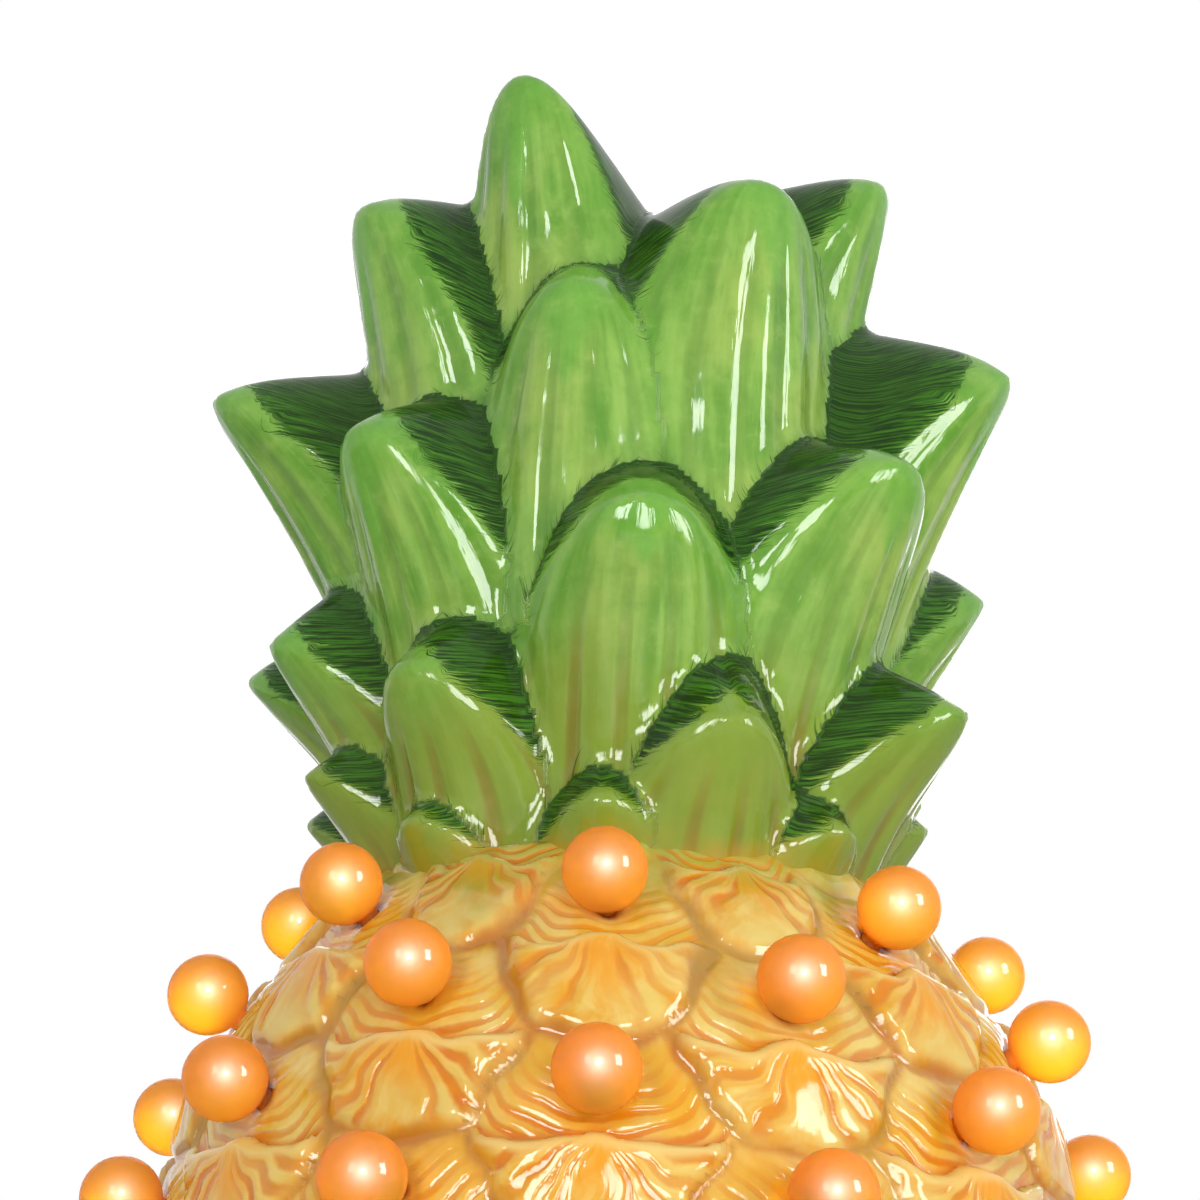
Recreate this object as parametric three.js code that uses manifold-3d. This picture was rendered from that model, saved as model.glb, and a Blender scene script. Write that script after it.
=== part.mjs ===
// Ceramic pineapple lamp: a hollow pineapple body and a hollow leaf crown, plastic globe bulbs
// pegged into the scales, and a battery base with its light inside the foot.
// Millimetres, +Z up, the front is -Y, and the origin is the middle of the face it rests on.
import * as THREE from "three";
import { mergeVertices } from "three/addons/utils/BufferGeometryUtils.js";
import Module from "manifold-3d";

const wasm = await Module();
wasm.setup();

// Clearances
const GAP = 0.3; // between two pieces that rest on each other
const SLIDE = 0.4; // each side of a piece that moves in a slot or window

// Body
const JOINT_Z = 158; // plane where the crown is luted onto the body
const WALL = 4.5; // thickness of the casting
const FOOT_R = 52.4;
const SCALE_COLUMNS = 15; // half columns round the body, which makes 7.5 scales a turn
const ROW = 15.2; // height from one row of scales to the next
const FIRST_AZIMUTH = -2.7; // degrees to the right of the front, of the first column
const TOP_SCALE_Z = 139.7; // middle of the first column's uppermost whole scale
const LIP = 2.3; // how far a scale's lip stands out
const VALLEY = -0.9; // depth of the valleys between the scales
const SIDE_CORNER = 0.65; // half width of a scale at its lip, in half columns
const END_CORNER = 0.35; // half width where it meets the scale above or below
const BULGE = 0.12; // how far its fan bulges down, in rows
const LIP_PEAK = -0.09; // middle of the lip, in rows above the middle of the scale
const LIP_DIP = -0.2; // where the lip hangs lowest on each side
const OVERHANG = 0.09; // from the lip's edge to the recess behind it, in rows
const FOOT_BAND_Z = 15; // below this height the body is plain
const BODY_PROFILE = [
  [24, 178],
  [33, 168],
  [40.5, 160.5],
  [46.2, 154.5],
  [53.4, 145.8],
  [60.2, 137.5],
  [65, 130.6],
  [70.6, 116.6],
  [74.9, 100.5],
  [77, 84],
  [77.4, 68],
  [75.8, 52],
  [72, 37],
  [66.4, 24],
  [60.6, 14],
  [55.6, 7],
  [FOOT_R, 2.3],
];

// Bulbs
const BULB_R = 6.5;
const BULB_STAND = BULB_R + GAP; // from the surface to the middle of the globe
const BULB_LIFT = 0.4; // of a row, from the middle of a scale up to its bulb
const PEG_R = 1.8;
const PEG_TIP_R = 1.5;
const PEG_LENGTH = 8; // below the surface
const PEG_HOLE_R = 1.16 * (PEG_R + GAP); // corner radius of the six-sided hole
const BULBS = 64;
const LOOSE_BULBS = 30; // the upper four turns, each a solid of its own
const FIRST_BULB_COLUMN = -6; // at the back, just under the crown
const BULB_SIDES = 7;
const FUSED_BULB_SIDES = 6;
const HOLE_SIDES = 6;

// Crown
const SPIGOT_R = 29.6; // ring that centres the crown in the neck of the body
const SPIGOT_DEPTH = 4;
const CORE_PROFILE = [
  [41, JOINT_Z],
  [38.5, 166],
  [40, 180],
  [41.5, 196],
  [40, 212],
  [35, 230],
  [26, 248],
  [16, 264],
  [8, 276],
];
const CORE_CAP = 4; // height of the point that closes the core
const CAVITY_CAP = 8; // from the top of the core down to the cavity
// Leaves: azimuth, tip radius, tip height, width, length of the outer face, how steeply the
// upper side climbs from the tip to the core, and the length of the arch that ends the face
const LEAVES = [
  // lowest ring, short leaves
  [-148, 53, 168, 24, 16, 0.5, 15], [-104, 59, 173, 24, 18, 0.5, 17],
  [-70, 58, 174, 25, 18, 0.6, 16], [-42, 53, 162.5, 26, 13, 0.7, 13],
  [-4, 52, 164, 25, 13, 0.8, 13], [44, 53.5, 162, 26, 13, 0.7, 13],
  [80, 54.5, 168.5, 24, 15, 0.6, 15], [104, 56.5, 178, 25, 20, 0.5, 17],
  [140, 54, 168, 24, 14, 0.5, 14], [176, 52.5, 172, 24, 16, 0.5, 15],
  // second ring
  [-166, 60.5, 192, 33, 34, 0.5, 25], [-131, 61.5, 187, 31, 30, 0.5, 24],
  [-100, 69.5, 198, 30, 36, 0.4, 25], [-74, 64, 197, 30, 36, 0.7, 24],
  [-40, 57.5, 186.5, 35, 32, 0.7, 25], [19, 57, 176.5, 35, 28, 1.0, 20],
  [63, 65, 183.5, 34, 32, 0.45, 22], [97, 66.5, 213, 33, 48, 0.3, 26],
  [130, 61.5, 189, 33, 34, 0.4, 24], [162, 59.5, 185, 32, 30, 0.4, 23],
  // third ring, the longest leaves
  [-150, 65, 231, 38, 56, 0.2, 36], [-120, 65, 221, 37, 52, 0.25, 34],
  [-80, 75, 241.5, 38, 60, 0.1, 36], [-51, 60.5, 228, 40, 58, 0.3, 36],
  [3, 57, 211, 38, 52, 0.45, 20], [50, 63, 222, 44, 58, 0.2, 28],
  [80, 70.5, 247.5, 42, 70, 0.2, 40], [118, 66, 233, 38, 58, 0.2, 36],
  [150, 65, 226, 38, 56, 0.2, 35], [-178, 63, 241, 38, 60, 0.15, 37],
  // fourth ring
  [-122, 52.5, 270, 36, 56, 0, 38], [-66, 53.5, 274, 38, 62, 0, 42],
  [-13.5, 44, 253.5, 36, 60, 0.3, 36], [34, 45, 273, 44, 64, -0.05, 36],
  [76, 49.5, 283.5, 35, 56, -0.15, 36], [118, 50.5, 266, 36, 56, 0, 38],
  [162, 47, 274, 36, 58, 0, 38],
  // top leaf
  [-32, 39, 294.5, 34, 58, -0.5, 44],
];
const LEAF_ROOT = 3; // how far a leaf's face stands out of the core at its root
const BOW = 0.27; // how far the sides of a leaf bend back, as a share of its width
const FLARE = 0.28; // how much wider a leaf is at its root than at its rim
const SWEEP = 1.5; // how suddenly a face turns outwards towards its tip
const FACE_SHARE = 0.72; // width of the flat of a leaf against its full width
const FACE_DROP = 0.9; // from the middle of a face back to the edge of its flat
const RIM_DROP = 3.5; // from the middle of a face back to its rim
const TIP_RISE = 0.05; // rise of the rounded top of a tip, as a share of the leaf's length
const RISE_OVER = 5; // depth over which it rises

// Battery base
const PAD_H = 2;
const PAD_R = 4.2;
const PLATE_Z = PAD_H + GAP; // underside of the base plate and of the body
const PLATE_T = 2.6;
const PLATE_TOP = PLATE_Z + PLATE_T;
const FOOT_WALL = 3.4; // width of the body's foot ring
const SEAT_R = FOOT_R - FOOT_WALL; // recess of the body that takes the plate
const PLATE_R = SEAT_R - SLIDE;
const FLANGE_W = 4.6; // where the plate overlaps the ledge of the body
const OPENING_R = PLATE_R - FLANGE_W; // hole in the ledge of the body
const PAD_RING_R = PLATE_R - PAD_R - 1.4;
const BASE_SIDES = 30;
const GASKET_T = 0.9;
const LEDGE_Z = PLATE_TOP + GAP + GASKET_T + GAP;
const LEDGE_T = 4;
const CELL_R = 7.1;
const CELL_LENGTH = 50.5;
const CELL_PITCH = 2 * CELL_R + 0.8;
const DOOR_T = 2.2;
const DOOR_Z = PLATE_Z + 0.1;
const CELL_Z = DOOR_Z + DOOR_T + SLIDE + CELL_R;
const CONTACT_SPACE = 4.35; // from the end of a cell to the wall of the tray
const TRAY_X = CELL_LENGTH / 2 + CONTACT_SPACE; // half length inside the battery tray
const TRAY_Y = CELL_PITCH + CELL_R + 0.7; // half width inside the battery tray
const TRAY_WALL = 1.8;
const TRAY_ROOF_Z = CELL_Z + CELL_R + 1;
const ROOF_TOP = TRAY_ROOF_Z + TRAY_WALL;
const HINGE_Y = -TRAY_Y - 1.9;
const HINGE_Z = DOOR_Z + DOOR_T / 2;
const HINGE_R = 1.1;
const HINGE_X = TRAY_X - 5.6; // middle of each knuckle
const CONTACT_T = 0.5;
const SWITCH_Y = (TRAY_Y + TRAY_WALL + OPENING_R) / 2; // midway between the tray and the ledge
const SWITCH_X = 8; // half length of the switch body
const SWITCH_W = 3.5; // half width
const SWITCH_H = 6;
const SWITCH_TRAVEL = 5; // off, on and timer, half of it apart
const STANDOFF_H = 2;
const BOARD_T = 1.6;
const BOARD_Z = ROOF_TOP + STANDOFF_H + GAP;
const BOARD_TOP = BOARD_Z + BOARD_T;
const DOME_R = 20.5; // outside of the diffuser
const DOME_T = 1.4;
const BOARD_R = DOME_R - DOME_T - 1.1;
const BOARD_SCREW_X = BOARD_R - 4.5;
const LED_RING_R = BOARD_R - 10;
const DOME_WALL_Z = 36; // where the wall turns into the dome
const WIRE_R = 0.7;

// Turns a geometry into a solid that can be joined and cut.
function solid(geometry) {
  const bare = geometry.clone();
  bare.deleteAttribute("normal");
  bare.deleteAttribute("uv");
  const merged = mergeVertices(bare, 1e-4);
  const corners = merged.index.array;
  const kept = [];
  for (let k = 0; k < corners.length; k += 3) {
    const [a, b, c] = corners.slice(k, k + 3);
    if (a !== b && b !== c && c !== a) kept.push(a, b, c);
  }
  const mesh = new wasm.Mesh({
    numProp: 3,
    vertProperties: new Float32Array(merged.attributes.position.array),
    triVerts: new Uint32Array(kept),
  });
  return new wasm.Manifold(mesh);
}

function box(x0, x1, y0, y1, z0, z1) {
  const shape = new THREE.BoxGeometry(x1 - x0, y1 - y0, z1 - z0);
  shape.translate((x0 + x1) / 2, (y0 + y1) / 2, (z0 + z1) / 2);
  return solid(shape);
}

// A profile of [radius, height] points turned about +Z. It starts and ends on the axis or closes.
function turned(profile, sides) {
  const points = profile.map(([r, z]) => new THREE.Vector2(r, z));
  const shape = new THREE.LatheGeometry(points, sides);
  shape.rotateX(Math.PI / 2);
  const made = solid(shape);
  if (made.volume() > 0) return made;
  const reversed = new THREE.LatheGeometry(points.reverse(), sides);
  reversed.rotateX(Math.PI / 2);
  return solid(reversed);
}

function disc(radius, z0, z1, sides) {
  return turned([[0, z0], [radius, z0], [radius, z1], [0, z1]], sides);
}

function ring(inner, outer, z0, z1, sides) {
  return turned([[inner, z0], [outer, z0], [outer, z1], [inner, z1], [inner, z0]], sides);
}

function rod(points, radius, sides) {
  const path = new THREE.CatmullRomCurve3(points.map((p) => new THREE.Vector3(...p)));
  const tube = new THREE.TubeGeometry(path, 8, radius, sides, false);
  const position = tube.attributes.position;
  const index = Array.from(tube.index.array);
  const rim = sides + 1;
  const verts = Array.from(position.array);
  for (const end of [0, 8]) {
    const middle = path.getPointAt(end / 8);
    const centre = verts.length / 3;
    verts.push(middle.x, middle.y, middle.z);
    for (let k = 0; k < sides; k++) {
      const a = end * rim + k;
      if (end) index.push(centre, a + 1, a);
      else index.push(centre, a, a + 1);
    }
  }
  const closed = new THREE.BufferGeometry();
  closed.setAttribute("position", new THREE.BufferAttribute(new Float32Array(verts), 3));
  closed.setIndex(index);
  const made = solid(closed);
  return made.volume() > 0 ? made : flipped(closed);
}

function flipped(geometry) {
  const index = geometry.index.array;
  for (let k = 0; k < index.length; k += 3) {
    [index[k], index[k + 1]] = [index[k + 1], index[k]];
  }
  return solid(geometry);
}

// A closed shell from vertices and triangles.
function shell(verts, faces) {
  const geometry = new THREE.BufferGeometry();
  geometry.setAttribute("position", new THREE.BufferAttribute(new Float32Array(verts.flat()), 3));
  geometry.setIndex(faces.flat());
  const made = solid(geometry);
  return made.volume() > 0 ? made : flipped(geometry);
}

function at(azimuth, radius, z) {
  const turn = THREE.MathUtils.degToRad(azimuth);
  return [radius * Math.sin(turn), -radius * Math.cos(turn), z];
}

// Radius of a profile at a height, and the outward normal there as [radial, up].
function alongProfile(profile, z) {
  const rising = profile[0][1] < profile[profile.length - 1][1];
  const points = rising ? profile : [...profile].reverse();
  let k = 0;
  while (k < points.length - 2 && z > points[k + 1][1]) k++;
  const [r0, z0] = points[k];
  const [r1, z1] = points[k + 1];
  const radius = r0 + ((r1 - r0) * (z - z0)) / (z1 - z0);
  const length = Math.hypot(r1 - r0, z1 - z0);
  return { radius, normal: [(z1 - z0) / length, (r0 - r1) / length] };
}

// A point of the body's skin, raised by lift along the normal.
function skin(azimuth, z, lift) {
  const { radius, normal } = alongProfile(BODY_PROFILE, z);
  return at(azimuth, radius + lift * normal[0], z + lift * normal[1]);
}

// The scales lie on a lattice that climbs one row in a turn. Each half column holds the middles
// of its own scales; the six corners of a scale are corners of its neighbours too.
const LATTICE_ROWS = 12;
const COLUMN_TURN = 360 / SCALE_COLUMNS;
const latticeTop = TOP_SCALE_Z + 2 * ROW;

function latticePoint(column, row, lift) {
  const z = latticeTop - ROW * (row + column / SCALE_COLUMNS);
  const faded = z < FOOT_BAND_Z ? -WALL / 2 : lift;
  return skin(FIRST_AZIMUTH + column * COLUMN_TURN, Math.max(z, PLATE_Z), faded);
}

// The relief of one scale: a recess above, an overhanging lip like a brace, a fan below that
// bulges into the scale under it. Places are in half columns and rows from its middle.
function scaleFaces(column, row, add, faces) {
  const point = (a, b, lift) => add(column + a, row - b, lift);
  const [left, right] = [-SIDE_CORNER, SIDE_CORNER].map((a) => point(a, 0, VALLEY));
  const [topLeft, topRight] = [-END_CORNER, END_CORNER].map((a) => point(a, 1, VALLEY));
  const [lowLeft, lowRight] = [-END_CORNER, END_CORNER].map((a) => point(a, -1, VALLEY));
  const top = point(0, 1 - BULGE, VALLEY);
  const bottom = point(0, -1 - BULGE, VALLEY);
  const peak = point(0, LIP_PEAK, LIP);
  const [browLeft, browRight] = [-0.34, 0.34].map((a) => point(a, LIP_DIP, LIP));
  const underPeak = point(0, LIP_PEAK + OVERHANG, 0);
  const [underLeft, underRight] = [-0.36, 0.36].map((a) => point(a, LIP_DIP + OVERHANG, 0));
  const [recessLeft, recessRight] = [-0.2, 0.2].map((a) => point(a, 0.45, 0));
  const fan = point(0, -0.62, LIP * 0.7);
  faces.push(
    [left, underLeft, recessLeft], [underLeft, underPeak, recessLeft],
    [underPeak, recessRight, recessLeft], [underPeak, underRight, recessRight],
    [underRight, right, recessRight], [right, topRight, recessRight],
    [recessRight, topRight, top], [recessLeft, recessRight, top],
    [recessLeft, top, topLeft], [left, recessLeft, topLeft],
    [left, browLeft, underLeft], [browLeft, peak, underPeak], [browLeft, underPeak, underLeft],
    [peak, browRight, underRight], [peak, underRight, underPeak], [browRight, right, underRight],
    [left, lowLeft, browLeft], [lowLeft, fan, browLeft], [lowLeft, bottom, fan],
    [bottom, lowRight, fan], [lowRight, browRight, fan], [lowRight, right, browRight],
    [fan, browRight, peak], [fan, peak, browLeft],
  );
}

function scaledShell() {
  const verts = [];
  const seen = new Map();
  const add = (column, row, lift) => {
    // a full turn later the same lattice point is one row further down
    const turns = Math.floor((column + 1e-6) / SCALE_COLUMNS);
    const c = column - turns * SCALE_COLUMNS;
    const r = row + turns;
    const key = `${c.toFixed(3)} ${r.toFixed(3)} ${lift}`;
    if (!seen.has(key)) {
      seen.set(key, verts.length);
      verts.push(latticePoint(c, r, lift));
    }
    return seen.get(key);
  };
  const faces = [];
  for (let column = 0; column < SCALE_COLUMNS; column++) {
    for (let row = 0; row < LATTICE_ROWS; row++) {
      if ((row + column) % 2 === 0) scaleFaces(column, row, add, faces);
    }
  }
  closeRims(verts, faces);
  return shell(verts, faces);
}

// Closes each open rim of a tube of triangles with a point on the axis.
function closeRims(verts, faces) {
  const edges = new Map();
  for (const [a, b, c] of faces) {
    for (const [from, to] of [[a, b], [b, c], [c, a]]) {
      if (edges.get(to)?.has(from)) edges.get(to).delete(from);
      else edges.set(from, (edges.get(from) ?? new Set()).add(to));
    }
  }
  const open = [];
  edges.forEach((ends, from) => ends.forEach((to) => open.push([from, to])));
  const middle = verts.reduce((sum, v) => sum + v[2], 0) / verts.length;
  for (const above of [true, false]) {
    const rim = open.filter(([from]) => verts[from][2] > middle === above);
    const height = rim.reduce((sum, [from]) => sum + verts[from][2], 0) / rim.length;
    const pole = verts.push([0, 0, height]) - 1;
    for (const [from, to] of rim) faces.push([to, from, pole]);
  }
}

// Places a shape made along +Z so that +Z is the skin's normal at a bulb.
function placeOnSkin(shape, azimuth, z) {
  const { radius, normal } = alongProfile(BODY_PROFILE, z);
  const lean = THREE.MathUtils.radToDeg(Math.acos(normal[1]));
  return shape.rotate([lean, 0, 0]).rotate([0, 0, azimuth]).translate(at(azimuth, radius, z));
}

// The bulbs follow one helix down the body, one to each scale.
function bulbPlace(number) {
  const column = FIRST_BULB_COLUMN + 2 * number;
  const azimuth = FIRST_AZIMUTH + column * COLUMN_TURN;
  const row = column / SCALE_COLUMNS;
  return { azimuth, z: TOP_SCALE_Z + BULB_LIFT * ROW - row * ROW };
}

function bulb(pegLength, sides, latitudes) {
  const profile = [[0, BULB_STAND + BULB_R]];
  for (const latitude of latitudes) {
    const turn = THREE.MathUtils.degToRad(latitude);
    profile.push([BULB_R * Math.cos(turn), BULB_STAND + BULB_R * Math.sin(turn)]);
  }
  const neck = BULB_STAND - Math.sqrt(BULB_R ** 2 - PEG_R ** 2);
  profile.push([PEG_R, neck], [PEG_TIP_R, -pegLength], [0, -pegLength]);
  return turned(profile, sides);
}

function pegHole() {
  const seat = [[0, 4], [7.2, 4], [PEG_HOLE_R, -1], [PEG_HOLE_R, -14], [0, -14]];
  return turned(seat, HOLE_SIDES);
}

function bodyCavity() {
  const outside = BODY_PROFILE.filter(([, z]) => z > 10 && z < JOINT_Z);
  const lined = outside.filter((_, k) => k % 2 === 1).map(([r, z]) => {
    const { normal } = alongProfile(BODY_PROFILE, z - 0.5);
    return [r - WALL * normal[0], z - WALL * normal[1]];
  });
  const neckR = SPIGOT_R + SLIDE;
  const shoulder = lined.findIndex(([r]) => r > neckR + 2);
  const profile = [
    [0, JOINT_Z + 2], [neckR, JOINT_Z + 2], [neckR, JOINT_Z - 8], ...lined.slice(shoulder),
    [OPENING_R + 6, LEDGE_Z + LEDGE_T], [OPENING_R, LEDGE_Z + LEDGE_T], [OPENING_R, LEDGE_Z],
    [SEAT_R, LEDGE_Z], [SEAT_R, 0], [0, 0],
  ];
  return turned(profile, BASE_SIDES);
}

function pineappleBody() {
  const plain = BODY_PROFILE.filter(([, z]) => z < 40).map(([r, z]) => [r + VALLEY / 2, z]);
  const footBand = turned([[0, plain[0][1]], ...plain, [0, PLATE_Z]], 36);
  const whole = scaledShell().add(footBand);
  const level = whole.trimByPlane([0, 0, 1], PLATE_Z).trimByPlane([0, 0, -1], GAP - JOINT_Z);
  let made = level.subtract(bodyCavity());
  for (let number = 0; number < BULBS; number++) {
    const { azimuth, z } = bulbPlace(number);
    if (number < LOOSE_BULBS) made = made.subtract(placeOnSkin(pegHole(), azimuth, z));
    else made = made.add(placeOnSkin(bulb(2, FUSED_BULB_SIDES, [32, -22]), azimuth, z));
  }
  return made;
}

// Half-width and drop below the tip at stations from the root up to the tip.
function leafEdge(width, length, arch) {
  const stations = [length, arch, arch * 0.42, arch * 0.12, 0];
  return stations.map((down) => {
    const open = 1 - Math.max(1 - down / arch, 0) ** 1.6;
    const narrowed = (0.12 * Math.max(down - arch, 0)) / length;
    return [(width / 2) * (Math.sqrt(open) - narrowed), down];
  });
}

// One leaf: a face that is bowed from side to side and bends outwards to a blunt tip, and a wedge
// behind its rim whose upper side rises round the tip and climbs to the core.
function leaf([azimuth, tipR, tipZ, width, length, climb, arch]) {
  const rootR = alongProfile(CORE_PROFILE, Math.max(tipZ - length, JOINT_Z)).radius + LEAF_ROOT;
  const coreR = Math.max(alongProfile(CORE_PROFILE, tipZ).radius - 6, 4);
  const depth = tipR - coreR;
  const half = leafEdge(width, length, arch);
  const edge = [...half, ...half.slice(0, -1).reverse().map(([x, down]) => [-x, down])];
  const turn = THREE.MathUtils.degToRad(azimuth);
  const point = ([edgeX, edgeDown], size, back) => {
    const x = edgeX * size;
    const bow = BOW * width * ((2 * (size > 1 ? edgeX : x)) / width) ** 2;
    const down = edgeDown + 0.55 * Math.max(1 - size, 0) * Math.max(arch - edgeDown, 0);
    const h = Math.max(1 - down / length, 0);
    const r = rootR + (tipR - rootR) * h ** SWEEP - back - bow;
    const ridge = Math.max(back - RIM_DROP, 0);
    const rise = TIP_RISE * length * (1 - Math.exp(-ridge / RISE_OVER));
    const lift = (climb * ridge * depth) / (depth - RIM_DROP) + rise;
    const [px, py] = at(azimuth, r, 0);
    return [px + x * Math.cos(turn), py + x * Math.sin(turn), tipZ - down + lift];
  };
  const wedge = (share) => [1 + FLARE * share, RIM_DROP + (depth - RIM_DROP) * share];
  const layers = [[0, 0], [FACE_SHARE, FACE_DROP], [1, RIM_DROP], wedge(0.3), wedge(1), [0, depth]];
  const verts = layers.flatMap(([size, back]) => edge.map((place) => point(place, size, back)));
  const around = edge.length;
  const faces = [];
  for (let s = 0; s < layers.length - 1; s++) {
    for (let k = 0; k < around; k++) {
      const a = s * around + k;
      const b = s * around + ((k + 1) % around);
      faces.push([a, b, b + around], [a, b + around, a + around]);
    }
  }
  return shell(verts, faces);
}

function crown() {
  const coreTop = CORE_PROFILE[CORE_PROFILE.length - 1];
  const core = turned([[0, JOINT_Z], ...CORE_PROFILE, [0, coreTop[1] + CORE_CAP]], 24);
  let made = core;
  for (const row of LEAVES) made = made.add(leaf(row));
  made = made.trimByPlane([0, 0, 1], JOINT_Z);
  const cavity = [[0, JOINT_Z - 1], [SPIGOT_R - 4, JOINT_Z - 1], [SPIGOT_R - 4, JOINT_Z + 3]];
  for (const [r, z] of CORE_PROFILE.slice(2, -1)) cavity.push([r - WALL - 2, z]);
  cavity.push([0, coreTop[1] - CAVITY_CAP]);
  const spigot = ring(SPIGOT_R - 4, SPIGOT_R, JOINT_Z - SPIGOT_DEPTH, JOINT_Z + 1, 24);
  return made.subtract(turned(cavity, 24)).add(spigot);
}

function basePlate() {
  const outerX = TRAY_X + TRAY_WALL;
  const outerY = TRAY_Y + TRAY_WALL;
  let made = disc(PLATE_R, PLATE_Z, PLATE_TOP, BASE_SIDES);
  made = made.add(box(-outerX, outerX, -outerY, outerY, PLATE_TOP - 0.5, ROOF_TOP));
  made = made.subtract(box(-TRAY_X, TRAY_X, -TRAY_Y, TRAY_Y, 0, TRAY_ROOF_Z));
  for (const side of [-1, 1]) {
    const notch = [side * HINGE_X - 3.4, side * HINGE_X + 3.4];
    made = made.subtract(box(...notch, HINGE_Y - HINGE_R - SLIDE, -TRAY_Y + 1, 0, PLATE_TOP));
    const tabX = side * (TRAY_X - CONTACT_T - GAP);
    const tabY = side * CELL_PITCH;
    made = made.subtract(box(tabX - 0.8, tabX + 0.8, tabY - 3, tabY + 3, 10, ROOF_TOP + 1));
    const post = disc(3, ROOF_TOP - 0.5, ROOF_TOP + STANDOFF_H, 12);
    made = made.add(post.translate([side * BOARD_SCREW_X, 0, 0]));
    const pilot = disc(1.25, TRAY_ROOF_Z - 1, ROOF_TOP + STANDOFF_H + 1, 8);
    made = made.subtract(pilot.translate([side * BOARD_SCREW_X, 0, 0]));
  }
  // slot of the switch, and a finger notch at the free edge of the door
  const slotX = SWITCH_TRAVEL / 2 + 2.5 + SLIDE;
  const slotY = [SWITCH_Y - 1 - SLIDE, SWITCH_Y + 1 + SLIDE];
  made = made.subtract(box(-slotX, slotX, ...slotY, 0, PLATE_TOP + 1));
  const finger = disc(6, 0, PLATE_Z + 1.2, 16);
  return made.subtract(finger.translate([0, TRAY_Y + 0.5, 0]));
}

function batteryDoor() {
  const x = TRAY_X - SLIDE;
  let made = box(-x, x, -TRAY_Y + SLIDE, TRAY_Y - SLIDE, DOOR_Z, DOOR_Z + DOOR_T);
  for (const side of [-1, 1]) {
    const knuckle = new THREE.CylinderGeometry(HINGE_R, HINGE_R, 6, 10);
    knuckle.rotateZ(Math.PI / 2);
    knuckle.translate(side * HINGE_X, HINGE_Y, HINGE_Z);
    const armX = [side * HINGE_X - 3, side * HINGE_X + 3];
    const arm = box(...armX, HINGE_Y, -TRAY_Y + 1, HINGE_Z - 0.8, HINGE_Z + 0.8);
    made = made.add(solid(knuckle)).add(arm);
  }
  const thumb = disc(5, DOOR_Z - 1, DOOR_Z + 0.8, 16);
  return made.subtract(thumb.translate([0, TRAY_Y - 4, 0]));
}

function cell(side, y) {
  const half = CELL_LENGTH / 2;
  const profile = [
    [0, -half], [CELL_R - 0.5, -half], [CELL_R, -half + 0.6], [CELL_R, half - 2],
    [CELL_R - 0.6, half - 1.4], [2.7, half - 1.4], [2.7, half], [0, half],
  ];
  return turned(profile, 10).rotate([0, side * 90, 0]).translate([0, y, CELL_Z]);
}

// A contact plate at one end of the tray, with a cone for each cell that presses on it.
function contact(side, ys, tabY) {
  const wallX = side * (TRAY_X - GAP);
  const faceX = side * (TRAY_X - GAP - CONTACT_T);
  const low = Math.min(...ys) - 5.5;
  const high = Math.max(...ys) + 5.5;
  const [x0, x1] = [Math.min(wallX, faceX), Math.max(wallX, faceX)];
  let made = box(x0, x1, low, high, CELL_Z - 5.5, CELL_Z + 5.5);
  for (const y of ys) {
    const reach = TRAY_X - GAP - CONTACT_T - CELL_LENGTH / 2 - GAP;
    const cone = new THREE.CylinderGeometry(1.6, 4.4, reach + CONTACT_T / 2, 8);
    cone.translate(0, (reach - CONTACT_T / 2) / 2, 0);
    cone.rotateZ(side * Math.PI / 2);
    cone.translate(faceX, y, CELL_Z);
    made = made.add(solid(cone));
  }
  if (tabY !== undefined) made = made.add(box(x0, x1, tabY - 2, tabY + 2, CELL_Z, ROOF_TOP + 2.5));
  return made;
}

function switchKnob() {
  const x = -SWITCH_TRAVEL / 2;
  const stem = box(x - 2.5, x + 2.5, SWITCH_Y - 1, SWITCH_Y + 1, PAD_H - 0.6, PLATE_TOP);
  const groove = box(x - 0.4, x + 0.4, SWITCH_Y - 2, SWITCH_Y + 2, 0, PAD_H - 0.2);
  return stem.subtract(groove.translate([-1.2, 0, 0])).subtract(groove.translate([1.2, 0, 0]));
}

function screw(x) {
  const head = BOARD_TOP + GAP;
  const profile = [
    [0, TRAY_ROOF_Z + 0.5], [0.9, TRAY_ROOF_Z + 0.5], [0.9, head], [2.4, head],
    [2.4, head + 1], [1.4, head + 1.6], [0, head + 1.6],
  ];
  const drive = box(-1.2, 1.2, -0.3, 0.3, head + 0.9, head + 2);
  return turned(profile, 8).subtract(drive).translate([x, 0, 0]);
}

function led(number) {
  const z = BOARD_TOP + GAP;
  const turn = THREE.MathUtils.degToRad(90 + number * 120);
  const profile = [
    [0, z], [2.9, z], [2.9, z + 1], [2.5, z + 1], [2.5, z + 5.5], [1.8, z + 7.2], [0, z + 8],
  ];
  return turned(profile, 8).translate([LED_RING_R * Math.cos(turn), LED_RING_R * Math.sin(turn), 0]);
}

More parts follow.
